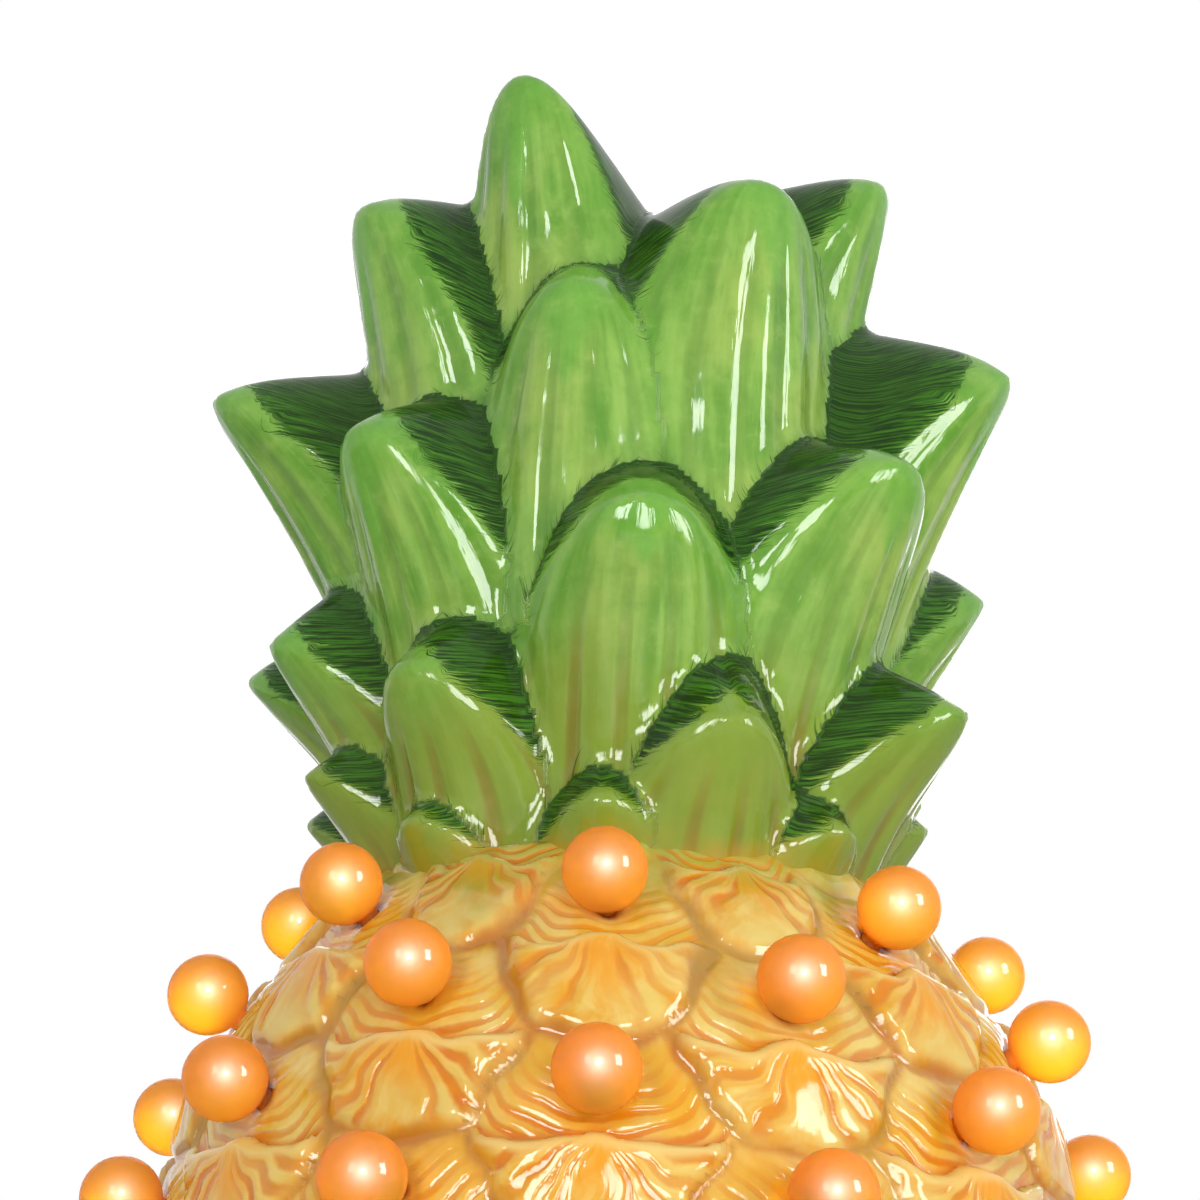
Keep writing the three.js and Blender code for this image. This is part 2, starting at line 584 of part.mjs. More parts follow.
const RED_WIRE = [
  [-TRAY_X + 2.4, -CELL_PITCH, ROOF_TOP + 1.4],
  [-25, -13.5, ROOF_TOP + 1.2],
  [-20.4, -9, ROOF_TOP + 1.2],
  [-17.5, -6.6, ROOF_TOP + 1.1],
  [-14.5, -5.2, ROOF_TOP + 1.1],
];
const BLACK_WIRE = [
  [TRAY_X - 2.4, CELL_PITCH, ROOF_TOP + 1.4],
  [25, 19, ROOF_TOP + 1.6],
  [17, TRAY_Y + 1.4, ROOF_TOP + 1.2],
  [10, SWITCH_Y - 4.6, ROOF_TOP - 4],
  [SWITCH_X + 0.6, SWITCH_Y - 1, PLATE_TOP + 5],
];
const WHITE_WIRE = [
  [-SWITCH_X - 0.6, SWITCH_Y - 1, PLATE_TOP + 5],
  [-9.6, SWITCH_Y - 4.6, ROOF_TOP - 4],
  [-8.6, TRAY_Y + 1.4, ROOF_TOP + 1.2],
  [-6.6, 19, ROOF_TOP + 1.1],
  [-5.2, 14.5, ROOF_TOP + 1.1],
];

// The domed diffuser over the board, notched where the wires pass under its rim.
function diffuser() {
  const foot = ROOF_TOP + GAP;
  const arc = (radius) => [0, 30, 60].map((turn) => {
    const t = THREE.MathUtils.degToRad(turn);
    return [radius * Math.cos(t), DOME_WALL_Z + 0.7 * radius * Math.sin(t)];
  });
  const inner = DOME_R - DOME_T;
  const profile = [
    [inner, foot], [DOME_R, foot], ...arc(DOME_R), [0, DOME_WALL_Z + 0.7 * DOME_R],
    [0, DOME_WALL_Z + 0.7 * inner], ...arc(inner).reverse(), [inner, foot],
  ];
  let made = turned(profile, 18);
  for (const [x, y] of [RED_WIRE[2], WHITE_WIRE[3]]) {
    const turn = Math.atan2(y, x);
    const notch = box(DOME_R - 4, DOME_R + 2, -1.6, 1.6, 0, foot + 2.2);
    made = made.subtract(notch.rotate([0, 0, THREE.MathUtils.radToDeg(turn)]));
  }
  return made;
}

const root = new THREE.Group();

function place(name, made, colour, extra = {}) {
  const data = made.getMesh();
  const geometry = new THREE.BufferGeometry();
  geometry.setAttribute("position", new THREE.BufferAttribute(data.vertProperties, 3));
  geometry.setIndex(new THREE.BufferAttribute(data.triVerts, 1));
  geometry.computeVertexNormals();
  const material = new THREE.MeshStandardMaterial({ color: colour, roughness: 0.4, ...extra });
  const mesh = new THREE.Mesh(geometry, material);
  mesh.name = name;
  root.add(mesh);
}

place("pineapple_body", pineappleBody(), "#e9a63f", { roughness: 0.15 });
place("crown", crown(), "#5f9a35", { roughness: 0.15 });
for (let number = 0; number < LOOSE_BULBS; number++) {
  const { azimuth, z } = bulbPlace(number);
  const name = `bulb_${String(number + 1).padStart(2, "0")}`;
  const made = placeOnSkin(bulb(PEG_LENGTH, BULB_SIDES, [50, 12, -28]), azimuth, z);
  place(name, made, "#f59a2a", { roughness: 0.1 });
}

place("base_plate", basePlate(), "#e8e4d8");
const gasketZ = PLATE_TOP + GAP;
place("gasket", ring(OPENING_R + 0.5, PLATE_R - 0.2, gasketZ, gasketZ + GASKET_T, BASE_SIDES), "#3a3a38");
place("battery_door", batteryDoor(), "#e0dccf");
[[-1, -CELL_PITCH], [1, 0], [-1, CELL_PITCH]].forEach(([side, y], k) => {
  place(`cell_${k + 1}`, cell(side, y), "#3d4a52", { metalness: 0.5 });
});
const metal = { metalness: 1, roughness: 0.3 };
place("contact_positive", contact(-1, [-CELL_PITCH], -CELL_PITCH), "#c8c8c4", metal);
place("contact_negative", contact(1, [CELL_PITCH], CELL_PITCH), "#c8c8c4", metal);
place("contact_link_left", contact(-1, [0, CELL_PITCH]), "#c8c8c4", metal);
place("contact_link_right", contact(1, [-CELL_PITCH, 0]), "#c8c8c4", metal);
const switchZ = PLATE_TOP + GAP;
place("switch_body", box(
  -SWITCH_X, SWITCH_X, SWITCH_Y - SWITCH_W, SWITCH_Y + SWITCH_W, switchZ, switchZ + SWITCH_H,
), "#2c2c2c");
place("switch_knob", switchKnob(), "#1f1f1f");
const bored = [-1, 1].reduce(
  (made, side) => made.subtract(
    disc(1.3, BOARD_Z - 1, BOARD_TOP + 1, 8).translate([side * BOARD_SCREW_X, 0, 0]),
  ),
  disc(BOARD_R, BOARD_Z, BOARD_TOP, 20),
);
place("led_board", bored, "#dfe6dc");
[-1, 1].forEach((side, k) => {
  place(`board_screw_${k + 1}`, screw(side * BOARD_SCREW_X), "#b9b9b4", metal);
});
for (let number = 0; number < 3; number++) {
  place(`led_${number + 1}`, led(number), "#fff2cf", { roughness: 0.1 });
}
place("diffuser", diffuser(), "#f4efe2");
place("wire_red", rod(RED_WIRE, WIRE_R, 6), "#b3261e");
place("wire_black", rod(BLACK_WIRE, WIRE_R, 6), "#1c1c1c");
place("wire_white", rod(WHITE_WIRE, WIRE_R, 6), "#efece4");
for (let corner = 0; corner < 4; corner++) {
  const [x, y] = at(45 + corner * 90, PAD_RING_R, 0);
  place(`foot_pad_${corner + 1}`, disc(PAD_R, 0, PAD_H, 16).translate([x, y, 0]), "#c9c4b8");
}

export default root;
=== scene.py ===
import math

import bmesh
import bpy
import numpy as np
from mathutils import Matrix, Vector
from mathutils.bvhtree import BVHTree
from mathutils.interpolate import poly_3d_calc


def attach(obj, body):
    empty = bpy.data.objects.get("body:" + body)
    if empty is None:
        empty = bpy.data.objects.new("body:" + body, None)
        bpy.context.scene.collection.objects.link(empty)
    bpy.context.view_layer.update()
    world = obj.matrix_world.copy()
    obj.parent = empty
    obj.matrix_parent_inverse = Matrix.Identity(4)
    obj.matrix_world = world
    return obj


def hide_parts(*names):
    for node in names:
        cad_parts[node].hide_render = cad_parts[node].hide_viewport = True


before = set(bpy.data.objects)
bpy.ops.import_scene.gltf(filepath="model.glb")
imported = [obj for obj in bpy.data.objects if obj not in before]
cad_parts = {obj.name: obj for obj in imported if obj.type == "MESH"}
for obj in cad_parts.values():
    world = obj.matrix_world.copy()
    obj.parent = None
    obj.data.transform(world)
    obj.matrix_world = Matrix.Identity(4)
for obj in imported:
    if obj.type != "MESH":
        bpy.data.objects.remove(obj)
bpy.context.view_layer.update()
mm = 0.001


# Curves and coordinates

def smooth(x):
    t = np.clip(x, 0, 1)
    return t * t * (3 - 2 * t)


def smoothCurve(points, steps=14):
    p = np.array(points, float)
    tangent = np.gradient(p, axis=0)
    s = np.linspace(0, len(p) - 1, (len(p) - 1) * steps + 1)
    k = np.minimum(s.astype(int), len(p) - 2)
    f = (s - k)[:, None]
    ahead, behind = f * f * (3 - 2 * f), f * (1 - f)
    bend = behind * ((1 - f) * tangent[k] - f * tangent[k + 1])
    return p[k] * (1 - ahead) + p[k + 1] * ahead + bend


def radiusAt(curve, z):
    order = np.argsort(curve[:, 1])
    return np.interp(z, curve[order, 1], curve[order, 0])


def normalAt(curve, z):
    slope = radiusAt(curve, z + 0.5) - radiusAt(curve, z - 0.5)
    length = np.hypot(1, slope)
    return 1 / length, -slope / length


def around(azimuth, radius, z):
    turn = np.radians(azimuth)
    return np.stack([radius * np.sin(turn), -radius * np.cos(turn), z], axis=-1)


# Meshes

def sheet(columns, rows):
    # a grid whose vertices know their column and row, to be rolled up by the caller
    bm = bmesh.new()
    bmesh.ops.create_grid(bm, x_segments=columns, y_segments=rows, size=1)
    bm.verts.ensure_lookup_table()
    flat = np.array([v.co[:2] for v in bm.verts])
    column = np.round((flat[:, 0] + 1) / 2 * columns).astype(int)
    row = np.round((flat[:, 1] + 1) / 2 * rows).astype(int)
    return bm, column, row


def moveTo(bm, points):
    for vert, point in zip(bm.verts, points * mm):
        vert.co = point


def keepFields(bm, fields):
    for name, values in fields.items():
        layer = bm.verts.layers.float.new(name)
        for vert, value in zip(bm.verts, values):
            vert[layer] = float(value)


def closeUp(bm):
    bmesh.ops.remove_doubles(bm, verts=bm.verts[:], dist=1e-6)
    bmesh.ops.recalc_face_normals(bm, faces=bm.faces[:])


def soften(bm, verts, times):
    axes = {"use_axis_x": True, "use_axis_y": True, "use_axis_z": True}
    for _ in range(times):
        bmesh.ops.smooth_vert(bm, verts=verts, factor=0.5, **axes)


def finishPiece(bm, name, body, material, replaced=()):
    closeUp(bm)
    for face in bm.faces:
        face.smooth = True
    mesh = bpy.data.meshes.new(name)
    bm.to_mesh(mesh)
    bm.free()
    mesh.materials.append(material)
    piece = bpy.data.objects.new(name, mesh)
    bpy.context.scene.collection.objects.link(piece)
    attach(piece, body)
    if replaced:
        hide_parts(*replaced)
    return piece


# Materials

def tint(red, green, blue):
    def linear(level):
        share = level / 255
        return share / 12.92 if share <= 0.04045 else ((share + 0.055) / 1.055) ** 2.4
    return (linear(red), linear(green), linear(blue), 1)


class Recipe:
    # a material's node tree, built with short calls
    def __init__(self, name, **sockets):
        self.material = bpy.data.materials.new(name)
        self.material.use_nodes = True
        self.tree = self.material.node_tree
        self.shader = self.tree.nodes["Principled BSDF"]
        for socket, value in sockets.items():
            self.shader.inputs[socket.replace("_", " ")].default_value = value
        self.place = self.add("ShaderNodeTexCoord").outputs["Object"]

    def add(self, kind, **settings):
        node = self.tree.nodes.new(kind)
        for key, value in settings.items():
            setattr(node, key, value)
        return node

    def feed(self, socket, value):
        if isinstance(value, bpy.types.NodeSocket):
            self.tree.links.new(value, socket)
        else:
            socket.default_value = value

    def maths(self, operation, *values, clamp=False):
        node = self.add("ShaderNodeMath", operation=operation, use_clamp=clamp)
        for socket, value in zip(node.inputs, values):
            self.feed(socket, value)
        return node.outputs[0]

    def times(self, first, second, clamp=False):
        return self.maths("MULTIPLY", first, second, clamp=clamp)

    def shaken(self, value, noise, reach):
        # the value, moved up and down by a noise
        return self.maths("MULTIPLY_ADD", self.maths("SUBTRACT", noise, 0.5), reach, value)

    def field(self, name):
        return self.add("ShaderNodeAttribute", attribute_name=name).outputs["Fac"]

    def mix(self, share, first, second):
        node = self.add("ShaderNodeMix", data_type="RGBA")
        self.feed(node.inputs["Factor"], share)
        self.feed(node.inputs[6], first)
        self.feed(node.inputs[7], second)
        return node.outputs[2]

    def lay(self, colour, upper, share, strength):
        # one colour over another, as thick as the share says
        return self.mix(self.times(share, strength), colour, upper)

    def noise(self, scale, detail=3, place=None, roughness=0.55):
        node = self.add("ShaderNodeTexNoise")
        self.feed(node.inputs["Vector"], place or self.place)
        node.inputs["Scale"].default_value = scale
        node.inputs["Detail"].default_value = detail
        node.inputs["Roughness"].default_value = roughness
        return node.outputs["Fac"]

    def band(self, value, low, high):
        node = self.add("ShaderNodeMapRange", interpolation_type="SMOOTHSTEP")
        self.feed(node.inputs["Value"], value)
        node.inputs["From Min"].default_value = low
        node.inputs["From Max"].default_value = high
        return node.outputs["Result"]

    def wave(self, count):
        # 1 at each whole count, -1 half way between
        return self.maths("COSINE", self.times(count, 2 * math.pi))

    def join(self, x, y, z=0.0):
        node = self.add("ShaderNodeCombineXYZ")
        for socket, value in zip(node.inputs, (x, y, z)):
            self.feed(socket, value)
        return node.outputs[0]

    def height(self):
        node = self.add("ShaderNodeSeparateXYZ")
        self.feed(node.inputs[0], self.place)
        return node.outputs[2]

    def colour(self, value):
        self.feed(self.shader.inputs["Base Color"], value)

    def bump(self, height, distance, strength=1.0):
        node = self.add("ShaderNodeBump")
        node.inputs["Strength"].default_value = strength
        node.inputs["Distance"].default_value = distance
        self.feed(node.inputs["Height"], height)
        self.feed(self.shader.inputs["Normal"], node.outputs[0])


def plainRecipe(name, colour, other, scale, roughness, metallic=0.0, bump=0.0):
    finish = Recipe(name, Roughness=roughness, Metallic=metallic)
    mottle = finish.noise(scale, 4)
    finish.colour(finish.mix(mottle, tint(*colour), tint(*other)))
    if bump:
        finish.bump(mottle, bump, 0.6)
    return finish


# The fruit: its outline as (radius, height) and the lattice of scales, in millimetres
fruit = {
    "outline": [
        (24, 178), (33, 168), (40.5, 160.5), (46.2, 154.5), (53.4, 145.8), (60.2, 137.5),
        (65, 130.6), (70.6, 116.6), (74.9, 100.5), (77, 84), (77.4, 68), (75.8, 52), (72, 37),
        (66.4, 24), (60.6, 14), (55.6, 7), (52.4, 2.3),
    ],
    "top": 157.7,
    "foot": 2.3,
    "footBand": 15,          # below this height the casting is plain
    "wall": 4.5,
    "neckRadius": 30,
    "seatRadius": 49,        # the base plate fits into this recess of the foot
    "ledge": 6.4,            # and rests against a ledge at this height
    "openingRadius": 44,
    "halfColumns": 15,
    "row": 15.2,
    "firstAzimuth": -2.7,
    "topScale": 139.7,
    "wander": 0.035,         # how far a hand-made scale strays from the lattice
    "sideCorner": 0.65,      # half width of a scale at its lip, in half columns
    "endCorner": 0.35,       # half width where it meets the scale above or below
    "bulge": 0.12,           # how far its foot hangs over the next one, in rows
    "lip": 2.7,
    "lipRound": 1.5,
    "floor": -0.5,           # height of the recess behind the lip
    "valley": 0.75,          # depth of the seam between two scales
    "valleyWidth": 2.2,
    "pleat": 16.5,           # degrees from one groove of a fan to the next
    "pleatDepth": 0.5,
    "bareFan": 14,           # degrees to each side of the middle that stay nearly smooth
    "garlandPitch": 2.35,
    "garlandDepth": 0.42,
    "socketDepth": 1.6,      # dent round the peg of a globe
    "socketRadius": 3.1,
    "calmAbove": 145,        # from this height on the relief is flatter
    "columnsRound": 425,
    "fineRow": 0.62,
    "coarseRow": 1.28,
    "fineAbove": 92,
}
outlineCurve = smoothCurve(fruit["outline"])
columnTurn = 360 / fruit["halfColumns"]
latticeTop = fruit["topScale"] + 2 * fruit["row"]


def chance(number, salt):
    return np.modf(np.abs(np.sin(number * 12.9898 + salt * 78.233) * 43758.5453))[0]


def wander(azimuth, z, salt):
    turn = np.radians(azimuth)
    return 0.6 * np.sin(29 * turn + 0.35 * z + salt) + 0.4 * np.sin(47 * turn - 0.5 * z + 2 * salt)


def scaleCell(azimuth, z):
    # the scale that a point lies on, as sideways and upwards places in half columns and rows
    side, end = fruit["sideCorner"], fruit["endCorner"]
    column = (azimuth - fruit["firstAzimuth"]) / columnTurn
    down = (latticeTop - z) / fruit["row"] - column / fruit["halfColumns"]
    m, n = (column + down) / 2, (column - down) / 2
    reach = np.full(m.shape, 99.0)
    across, up, number = np.zeros_like(m), np.zeros_like(m), np.zeros_like(m)
    for i in (-1, 0, 1):
        for j in (-1, 0, 1):
            mHere, nHere = np.round(m) + i, np.round(n) + j
            a = m - mHere + n - nHere + fruit["wander"] * wander(azimuth, z, 0)
            b = n - nHere - m + mHere + fruit["wander"] * wander(azimuth, z, 2.5)
            bent = np.abs(b + bendOf(a))
            here = np.maximum(bent, (np.abs(a) + (side - end) * bent) / side)
            closer = here < reach
            reach = np.where(closer, here, reach)
            across, up = np.where(closer, a, across), np.where(closer, b, up)
            helix = mHere + nHere + fruit["halfColumns"] * (mHere - nHere)
            number = np.where(closer, helix, number)
    return across, up, number


def bendOf(across):
    # the foot of a fan bulges down into the scale below
    width = 2 * fruit["endCorner"]
    inside = np.clip(np.abs(across) / width, 0, 0.5)
    return fruit["bulge"] * np.cos(math.pi * inside)


def lipLine(across):
    # the lip climbs to a peak in the middle and again towards both corners, in rows
    t = np.abs(across) / fruit["sideCorner"]
    return -0.18 + 0.12 * np.exp(-((t / 0.26) ** 2)) + 0.73 * np.maximum(t - 0.45, 0) ** 2


def fanPleats(x, below, number):
    # grooves that run down from the peak of the lip, as their count from the left and their share
    reach, angle = np.hypot(x, below), np.degrees(np.arctan2(x, below))
    count = angle / fruit["pleat"] + 0.5 + 0.3 * (chance(number, 5) - 0.5)
    count = count + 0.12 * np.sin(0.9 * reach + number)
    groove = np.round(count) + 9 * number
    long = 9 + 8 * chance(groove, 20)
    share = smooth((reach - 2.4) / 3.5) * (1 - 0.6 * smooth((reach - long) / 5))
    bare = fruit["bareFan"]
    share = share * (0.05 + 0.95 * smooth((np.abs(angle) - bare) / bare)) * (np.abs(angle) < 95)
    return count, share * (0.45 + 0.65 * chance(groove, 40))


def holeReach(x, up, tall, number):
    # how far each point lies from the peg of its globe, 99 on a scale that has none
    firstGlobe = globes["firstColumn"] + 2 * fruit["halfColumns"]
    socketed = (number >= firstGlobe) & (number < firstGlobe + 2 * globes["count"])
    return np.where(socketed, np.hypot(x, (up - globes["lift"]) * tall), 99)


def reliefOf(azimuth, z, radius, slope):
    # height of the glaze over the plain outline, its shift up the skin, and the colour fields
    across, up, number = scaleCell(azimuth, z)
    wide = math.radians(columnTurn) * radius
    tall = fruit["row"] * slope
    x = across * wide
    bent = np.abs(up + bendOf(across))
    corner = fruit["sideCorner"] - fruit["endCorner"]
    edge = np.minimum(
        (1 - bent) * tall,
        (fruit["sideCorner"] - corner * bent - np.abs(across)) * wide * 0.95,
    )
    under = (lipLine(across) - up) * tall
    onFan = under > 0
    valleyShare = smooth(edge / fruit["valleyWidth"])
    clear = smooth((edge - 0.5) / 1.2)  # fades what differs from scale to scale before the seam

    # fan
    fall = np.clip(under / tall, 0, 1)
    dome = 1 - 0.5 * (across / fruit["sideCorner"]) ** 2
    brow = np.sqrt(1 - (1 - np.clip(under / fruit["lipRound"], 0, 1)) ** 2)
    fan = fruit["floor"] + (fruit["lip"] * (1 - 0.75 * fall) * dome - fruit["floor"]) * brow
    peak = (lipLine(np.zeros_like(across)) - up) * tall
    pleat, pleatShare = fanPleats(x, peak, number)
    pleatShare = pleatShare * smooth((under - 1.1) / 1.5) * clear * onFan
    sunk = pleatShare * smooth((edge - 0.5) / 3)
    fan = fan - fruit["pleatDepth"] * sunk * (0.5 + 0.5 * np.cos(2 * math.pi * pleat))

    # recess with its garlands
    over = np.maximum(-under, 0)
    level = over - np.abs(x) * (0.26 + 0.03 * over)
    garland = level / fruit["garlandPitch"] - 0.2 * chance(number, 60)
    wave = 0.5 - 0.5 * np.cos(2 * math.pi * garland)
    hole = holeReach(x, up, tall, number)
    swag = smooth((over - 0.7) / 0.8) * smooth(edge / 2) * smooth((hole - 3) / 3) * ~onFan
    raised = (wave - 0.5) * swag * smooth((edge - 0.3) / 2.5)
    recess = fruit["floor"] * (1 - smooth(over / 9)) + fruit["garlandDepth"] * raised
    recess = recess - fruit["socketDepth"] * np.exp(-((hole / fruit["socketRadius"]) ** 2))

    height = np.where(onFan, fan, recess)
    height = -fruit["valley"] + (height + fruit["valley"]) * valleyShare**0.8
    shift = np.where(onFan, 0.9 * np.exp(-under / 1.2), 0) * valleyShare
    whole = smooth((z - fruit["footBand"] + 1.5) / 3)
    calm = 1 - 0.4 * smooth((z - fruit["calmAbove"]) / 8)
    fields = {
        "pleat": pleat,
        "pleatShare": pleatShare * whole,
        "garland": garland,
        "garlandShare": swag * (1 - 0.06 * over) * whole,
        "edge": np.where(whole > 0.5, edge, 9) + 3 * (1 - calm),
        "under": under,
        "glow": np.where(onFan, np.exp(-((x / 7) ** 2) - ((peak - 5) / 5) ** 2), 0) * whole,
        "fanLow": np.where(onFan, smooth((fall - 0.45) / 0.4), 0) * clear * whole,
        "clear": clear,
        # where shade is painted round the peg under each globe
        "socket": (1 - smooth((hole - 1.8) / 1.6)) * whole,
        "plain": 1 - whole,
    }
    whole = whole * calm
    return height * whole - 0.45 * (1 - whole), shift * whole, fields


def evenRelief(azimuth, z, radius, slope):
    # the mean of the relief around each vertex, so that a steep seam shows no steps
    reach = 180 / fruit["columnsRound"]
    total = np.zeros_like(z)
    for turn in (-1, 0, 1):
        for drop in (-1, 0, 1):
            share = (1 - 0.5 * abs(turn)) * (1 - 0.5 * abs(drop)) / 4
            near = reliefOf(azimuth + 1.1 * turn * reach, z + 0.5 * drop, radius, slope)
            total += share * near[0]
    return total


def fruitRows():
    # rows of the casting from the top down the outside, under the foot and up the inside
    top, low = fruit["top"], fruit["foot"]
    curve = outlineCurve[(outlineCurve[:, 1] <= top) & (outlineCurve[:, 1] >= low + 1.2)]
    start = np.array([[radiusAt(outlineCurve, top), top]])
    curve = np.vstack([start, curve])
    run = np.concatenate([[0], np.cumsum(np.hypot(*np.diff(curve, axis=0).T))])
    split = np.interp(-fruit["fineAbove"], -curve[:, 1], run)
    steps = np.concatenate([
        np.arange(0, split, fruit["fineRow"]), np.arange(split, run[-1], fruit["coarseRow"]),
    ])
    outside = np.stack([np.interp(steps, run, curve[:, 0]), np.interp(steps, run, curve[:, 1])], 1)
    seat, ledge, opening = fruit["seatRadius"], fruit["ledge"], fruit["openingRadius"]
    foot = [
        (52.6, low + 0.9), (52.1, low + 0.3), (51.4, low), (50, low), (49.3, low + 0.1),
        (seat, low + 0.5), (seat, ledge), (seat - 0.3, ledge + 0.05), (opening, ledge),
        (opening, ledge + 4),
    ]
    heights = np.linspace(14, 150, 12)
    out, rise = normalAt(outlineCurve, heights)
    reach = radiusAt(outlineCurve, heights) - fruit["wall"] * out
    neckR = fruit["neckRadius"]
    inside = np.stack([np.maximum(reach, neckR), heights - fruit["wall"] * rise], 1)
    neck = [(neckR, 150), (neckR, top), (neckR + 1, top)]
    return outside, np.vstack([foot, inside, neck])


def fruitGlaze():
    glaze = Recipe("fruit_glaze", Roughness=0.08, IOR=1.5, Specular_IOR_Level=0.32)
    cloud, broad, speck = glaze.noise(110, 4), glaze.noise(38, 3), glaze.noise(420, 3)
    colour = glaze.mix(glaze.band(cloud, 0.3, 0.7), tint(212, 168, 50), tint(226, 202, 118))
    colour = glaze.lay(colour, tint(228, 160, 26), glaze.band(broad, 0.45, 0.68), 0.65)
    # the fan under the lip
    under, clear = glaze.field("under"), glaze.field("clear")
    streakPlace = glaze.join(glaze.times(glaze.field("pleat"), 0.9), glaze.times(under, 0.16))
    streak = glaze.band(glaze.noise(1, 3, streakPlace), 0.38, 0.6)
    streaked = glaze.mix(streak, tint(218, 150, 16), tint(226, 202, 114))
    colour = glaze.lay(colour, streaked, glaze.times(glaze.band(under, 0.8, 2.5), clear), 0.6)
    glow = glaze.times(glaze.field("glow"), glaze.band(cloud, 0.2, 0.55))
    colour = glaze.lay(colour, tint(232, 152, 10), glow, 0.95)
    pale = glaze.times(glaze.field("fanLow"), glaze.band(glaze.noise(60, 2), 0.38, 0.6))
    colour = glaze.lay(colour, tint(222, 198, 108), pale, 0.7)
    # the lip is painted pale as a highlight along its crest, and towards the crown the fruit turns
    # green
    lipHighlight = glaze.times(glaze.band(under, 0, 0.5), glaze.band(under, 3, 1.2))
    colour = glaze.lay(colour, tint(230, 200, 122), glaze.times(lipHighlight, clear), 0.7)
    high = glaze.maths("ADD", glaze.height(), glaze.times(glaze.noise(90, 3), 0.03))
    colour = glaze.lay(colour, tint(138, 158, 60), glaze.band(high, 0.157, 0.176), 0.75)
    # orange glaze pooled in the grooves; behind the lip pooled glaze and painted shade under the
    # overhang of the lip
    soft = glaze.shaken(0, speck, 0.25)
    pleat = glaze.wave(glaze.maths("ADD", glaze.field("pleat"), soft))
    garland = glaze.wave(glaze.maths("ADD", glaze.field("garland"), soft))
    pleatPool = glaze.times(glaze.band(pleat, -0.6, 0.8), glaze.field("pleatShare"))
    garlandPool = glaze.times(glaze.band(garland, -0.4, 0.9), glaze.field("garlandShare"))
    uneven = glaze.maths("MULTIPLY_ADD", broad, 1.5, 0.15)
    pool = glaze.times(glaze.maths("ADD", pleatPool, garlandPool), uneven, clamp=True)
    deep = glaze.mix(glaze.band(cloud, 0.35, 0.65), tint(218, 128, 4), tint(204, 108, 14))
    colour = glaze.lay(colour, deep, pool, 0.95)
    # painted shade: a darker orange band in the recess just above the lip, under its overhang
    shade = glaze.times(glaze.band(under, 0.1, -0.2), glaze.band(under, -2.6, -0.3))
    colour = glaze.lay(colour, tint(200, 104, 22), glaze.times(shade, clear), 0.85)
    # brown glaze and painted shade along the seams, and painted shade in the holes round the pegs
    # of the globes
    edge = glaze.shaken(glaze.shaken(glaze.field("edge"), cloud, 2.5), broad, 3)
    # painted shade: a wide soft orange band along each seam, then brown glaze with painted shade
    # in the seam itself
    colour = glaze.lay(colour, tint(206, 132, 32), glaze.band(edge, 3, 0.5), 0.4)
    patch = glaze.band(glaze.noise(45, 2), 0.4, 0.6)
    brown = glaze.mix(patch, tint(176, 98, 34), tint(168, 126, 50))
    colour = glaze.lay(colour, brown, glaze.band(edge, 1.7, 0), 0.72)
    # painted shade: the hole round each peg, under its globe, turns dark red-brown
    colour = glaze.mix(glaze.field("socket"), colour, tint(112, 40, 18))
    glaze.colour(glaze.lay(colour, tint(226, 178, 96), glaze.field("plain"), 0.9))
    glaze.bump(glaze.maths("MULTIPLY_ADD", pool, -0.7, glaze.noise(70, 2)), 0.0004, 0.6)
    return glaze.material


def makeFruit(glaze):
    outside, rest = fruitRows()
    rows = len(outside) + len(rest)
    columns = fruit["columnsRound"]
    bm, column, row = sheet(columns, rows)
    profile = np.vstack([outside, rest, outside[:1]])
    azimuth = -180 + 360 * column / columns
    radius, z = profile[row, 0], profile[row, 1]
    outer = (row < len(outside)) | (row == rows)
    out, rise = normalAt(outlineCurve, z)
    slope = np.clip(1 / out, 1, 1.7)
    _, shift, fields = reliefOf(azimuth, z, radius, slope)
    height = np.where(outer, evenRelief(azimuth, z, radius, slope), 0)
    shift = np.where(outer, shift, 0)
    lifted = around(azimuth, radius + height * out - shift * rise, z + height * rise + shift * out)
    lifted[:, 2] = np.minimum(lifted[:, 2], fruit["top"])
    moveTo(bm, lifted)
    keepFields(bm, {name: np.where(outer, values, 0) for name, values in fields.items()})
    return finishPiece(bm, "fruit_casting", "lamp", glaze, ["pineapple_body"])


# The crown: its core as (radius, height), and the form that all its leaves share
crown = {
    "core": [
        (41, 158), (38.5, 166), (40, 180), (41.5, 196), (40, 212), (35, 230), (26, 248),
        (16, 264), (8, 276),
    ],
    "bow": 0.27,      # how far the sides of a leaf bend back, as a share of its width
    "flare": 0.28,    # how much wider a leaf is at its root
    "sweep": 1.5,     # how suddenly the face turns outwards towards the tip
    "rimDrop": 3.5,
    "edgeDrop": 0.9,  # how far the face has fallen where its rim begins to round
    "faceShare": 0.72,
    "bottom": 158,    # height at which the core and the lowest leaves start
    "coreTop": 280,
    "voxel": 1.0,
    "smoothing": 7,
    "creaseSmoothing": 8,  # more turns along the furrows between leaves, which light follows
    "grooves": 5,     # over the width of a leaf of 38 mm
    "grooveDepth": 0.7,
    "rise": 3,        # how far the rounded top of a tip climbs, on a leaf of 60 mm
    "riseOver": 5,
    "tipLight": 0.085,  # how far the light glaze folds over a tip, as a share of its length
}
coreCurve = smoothCurve(crown["core"])

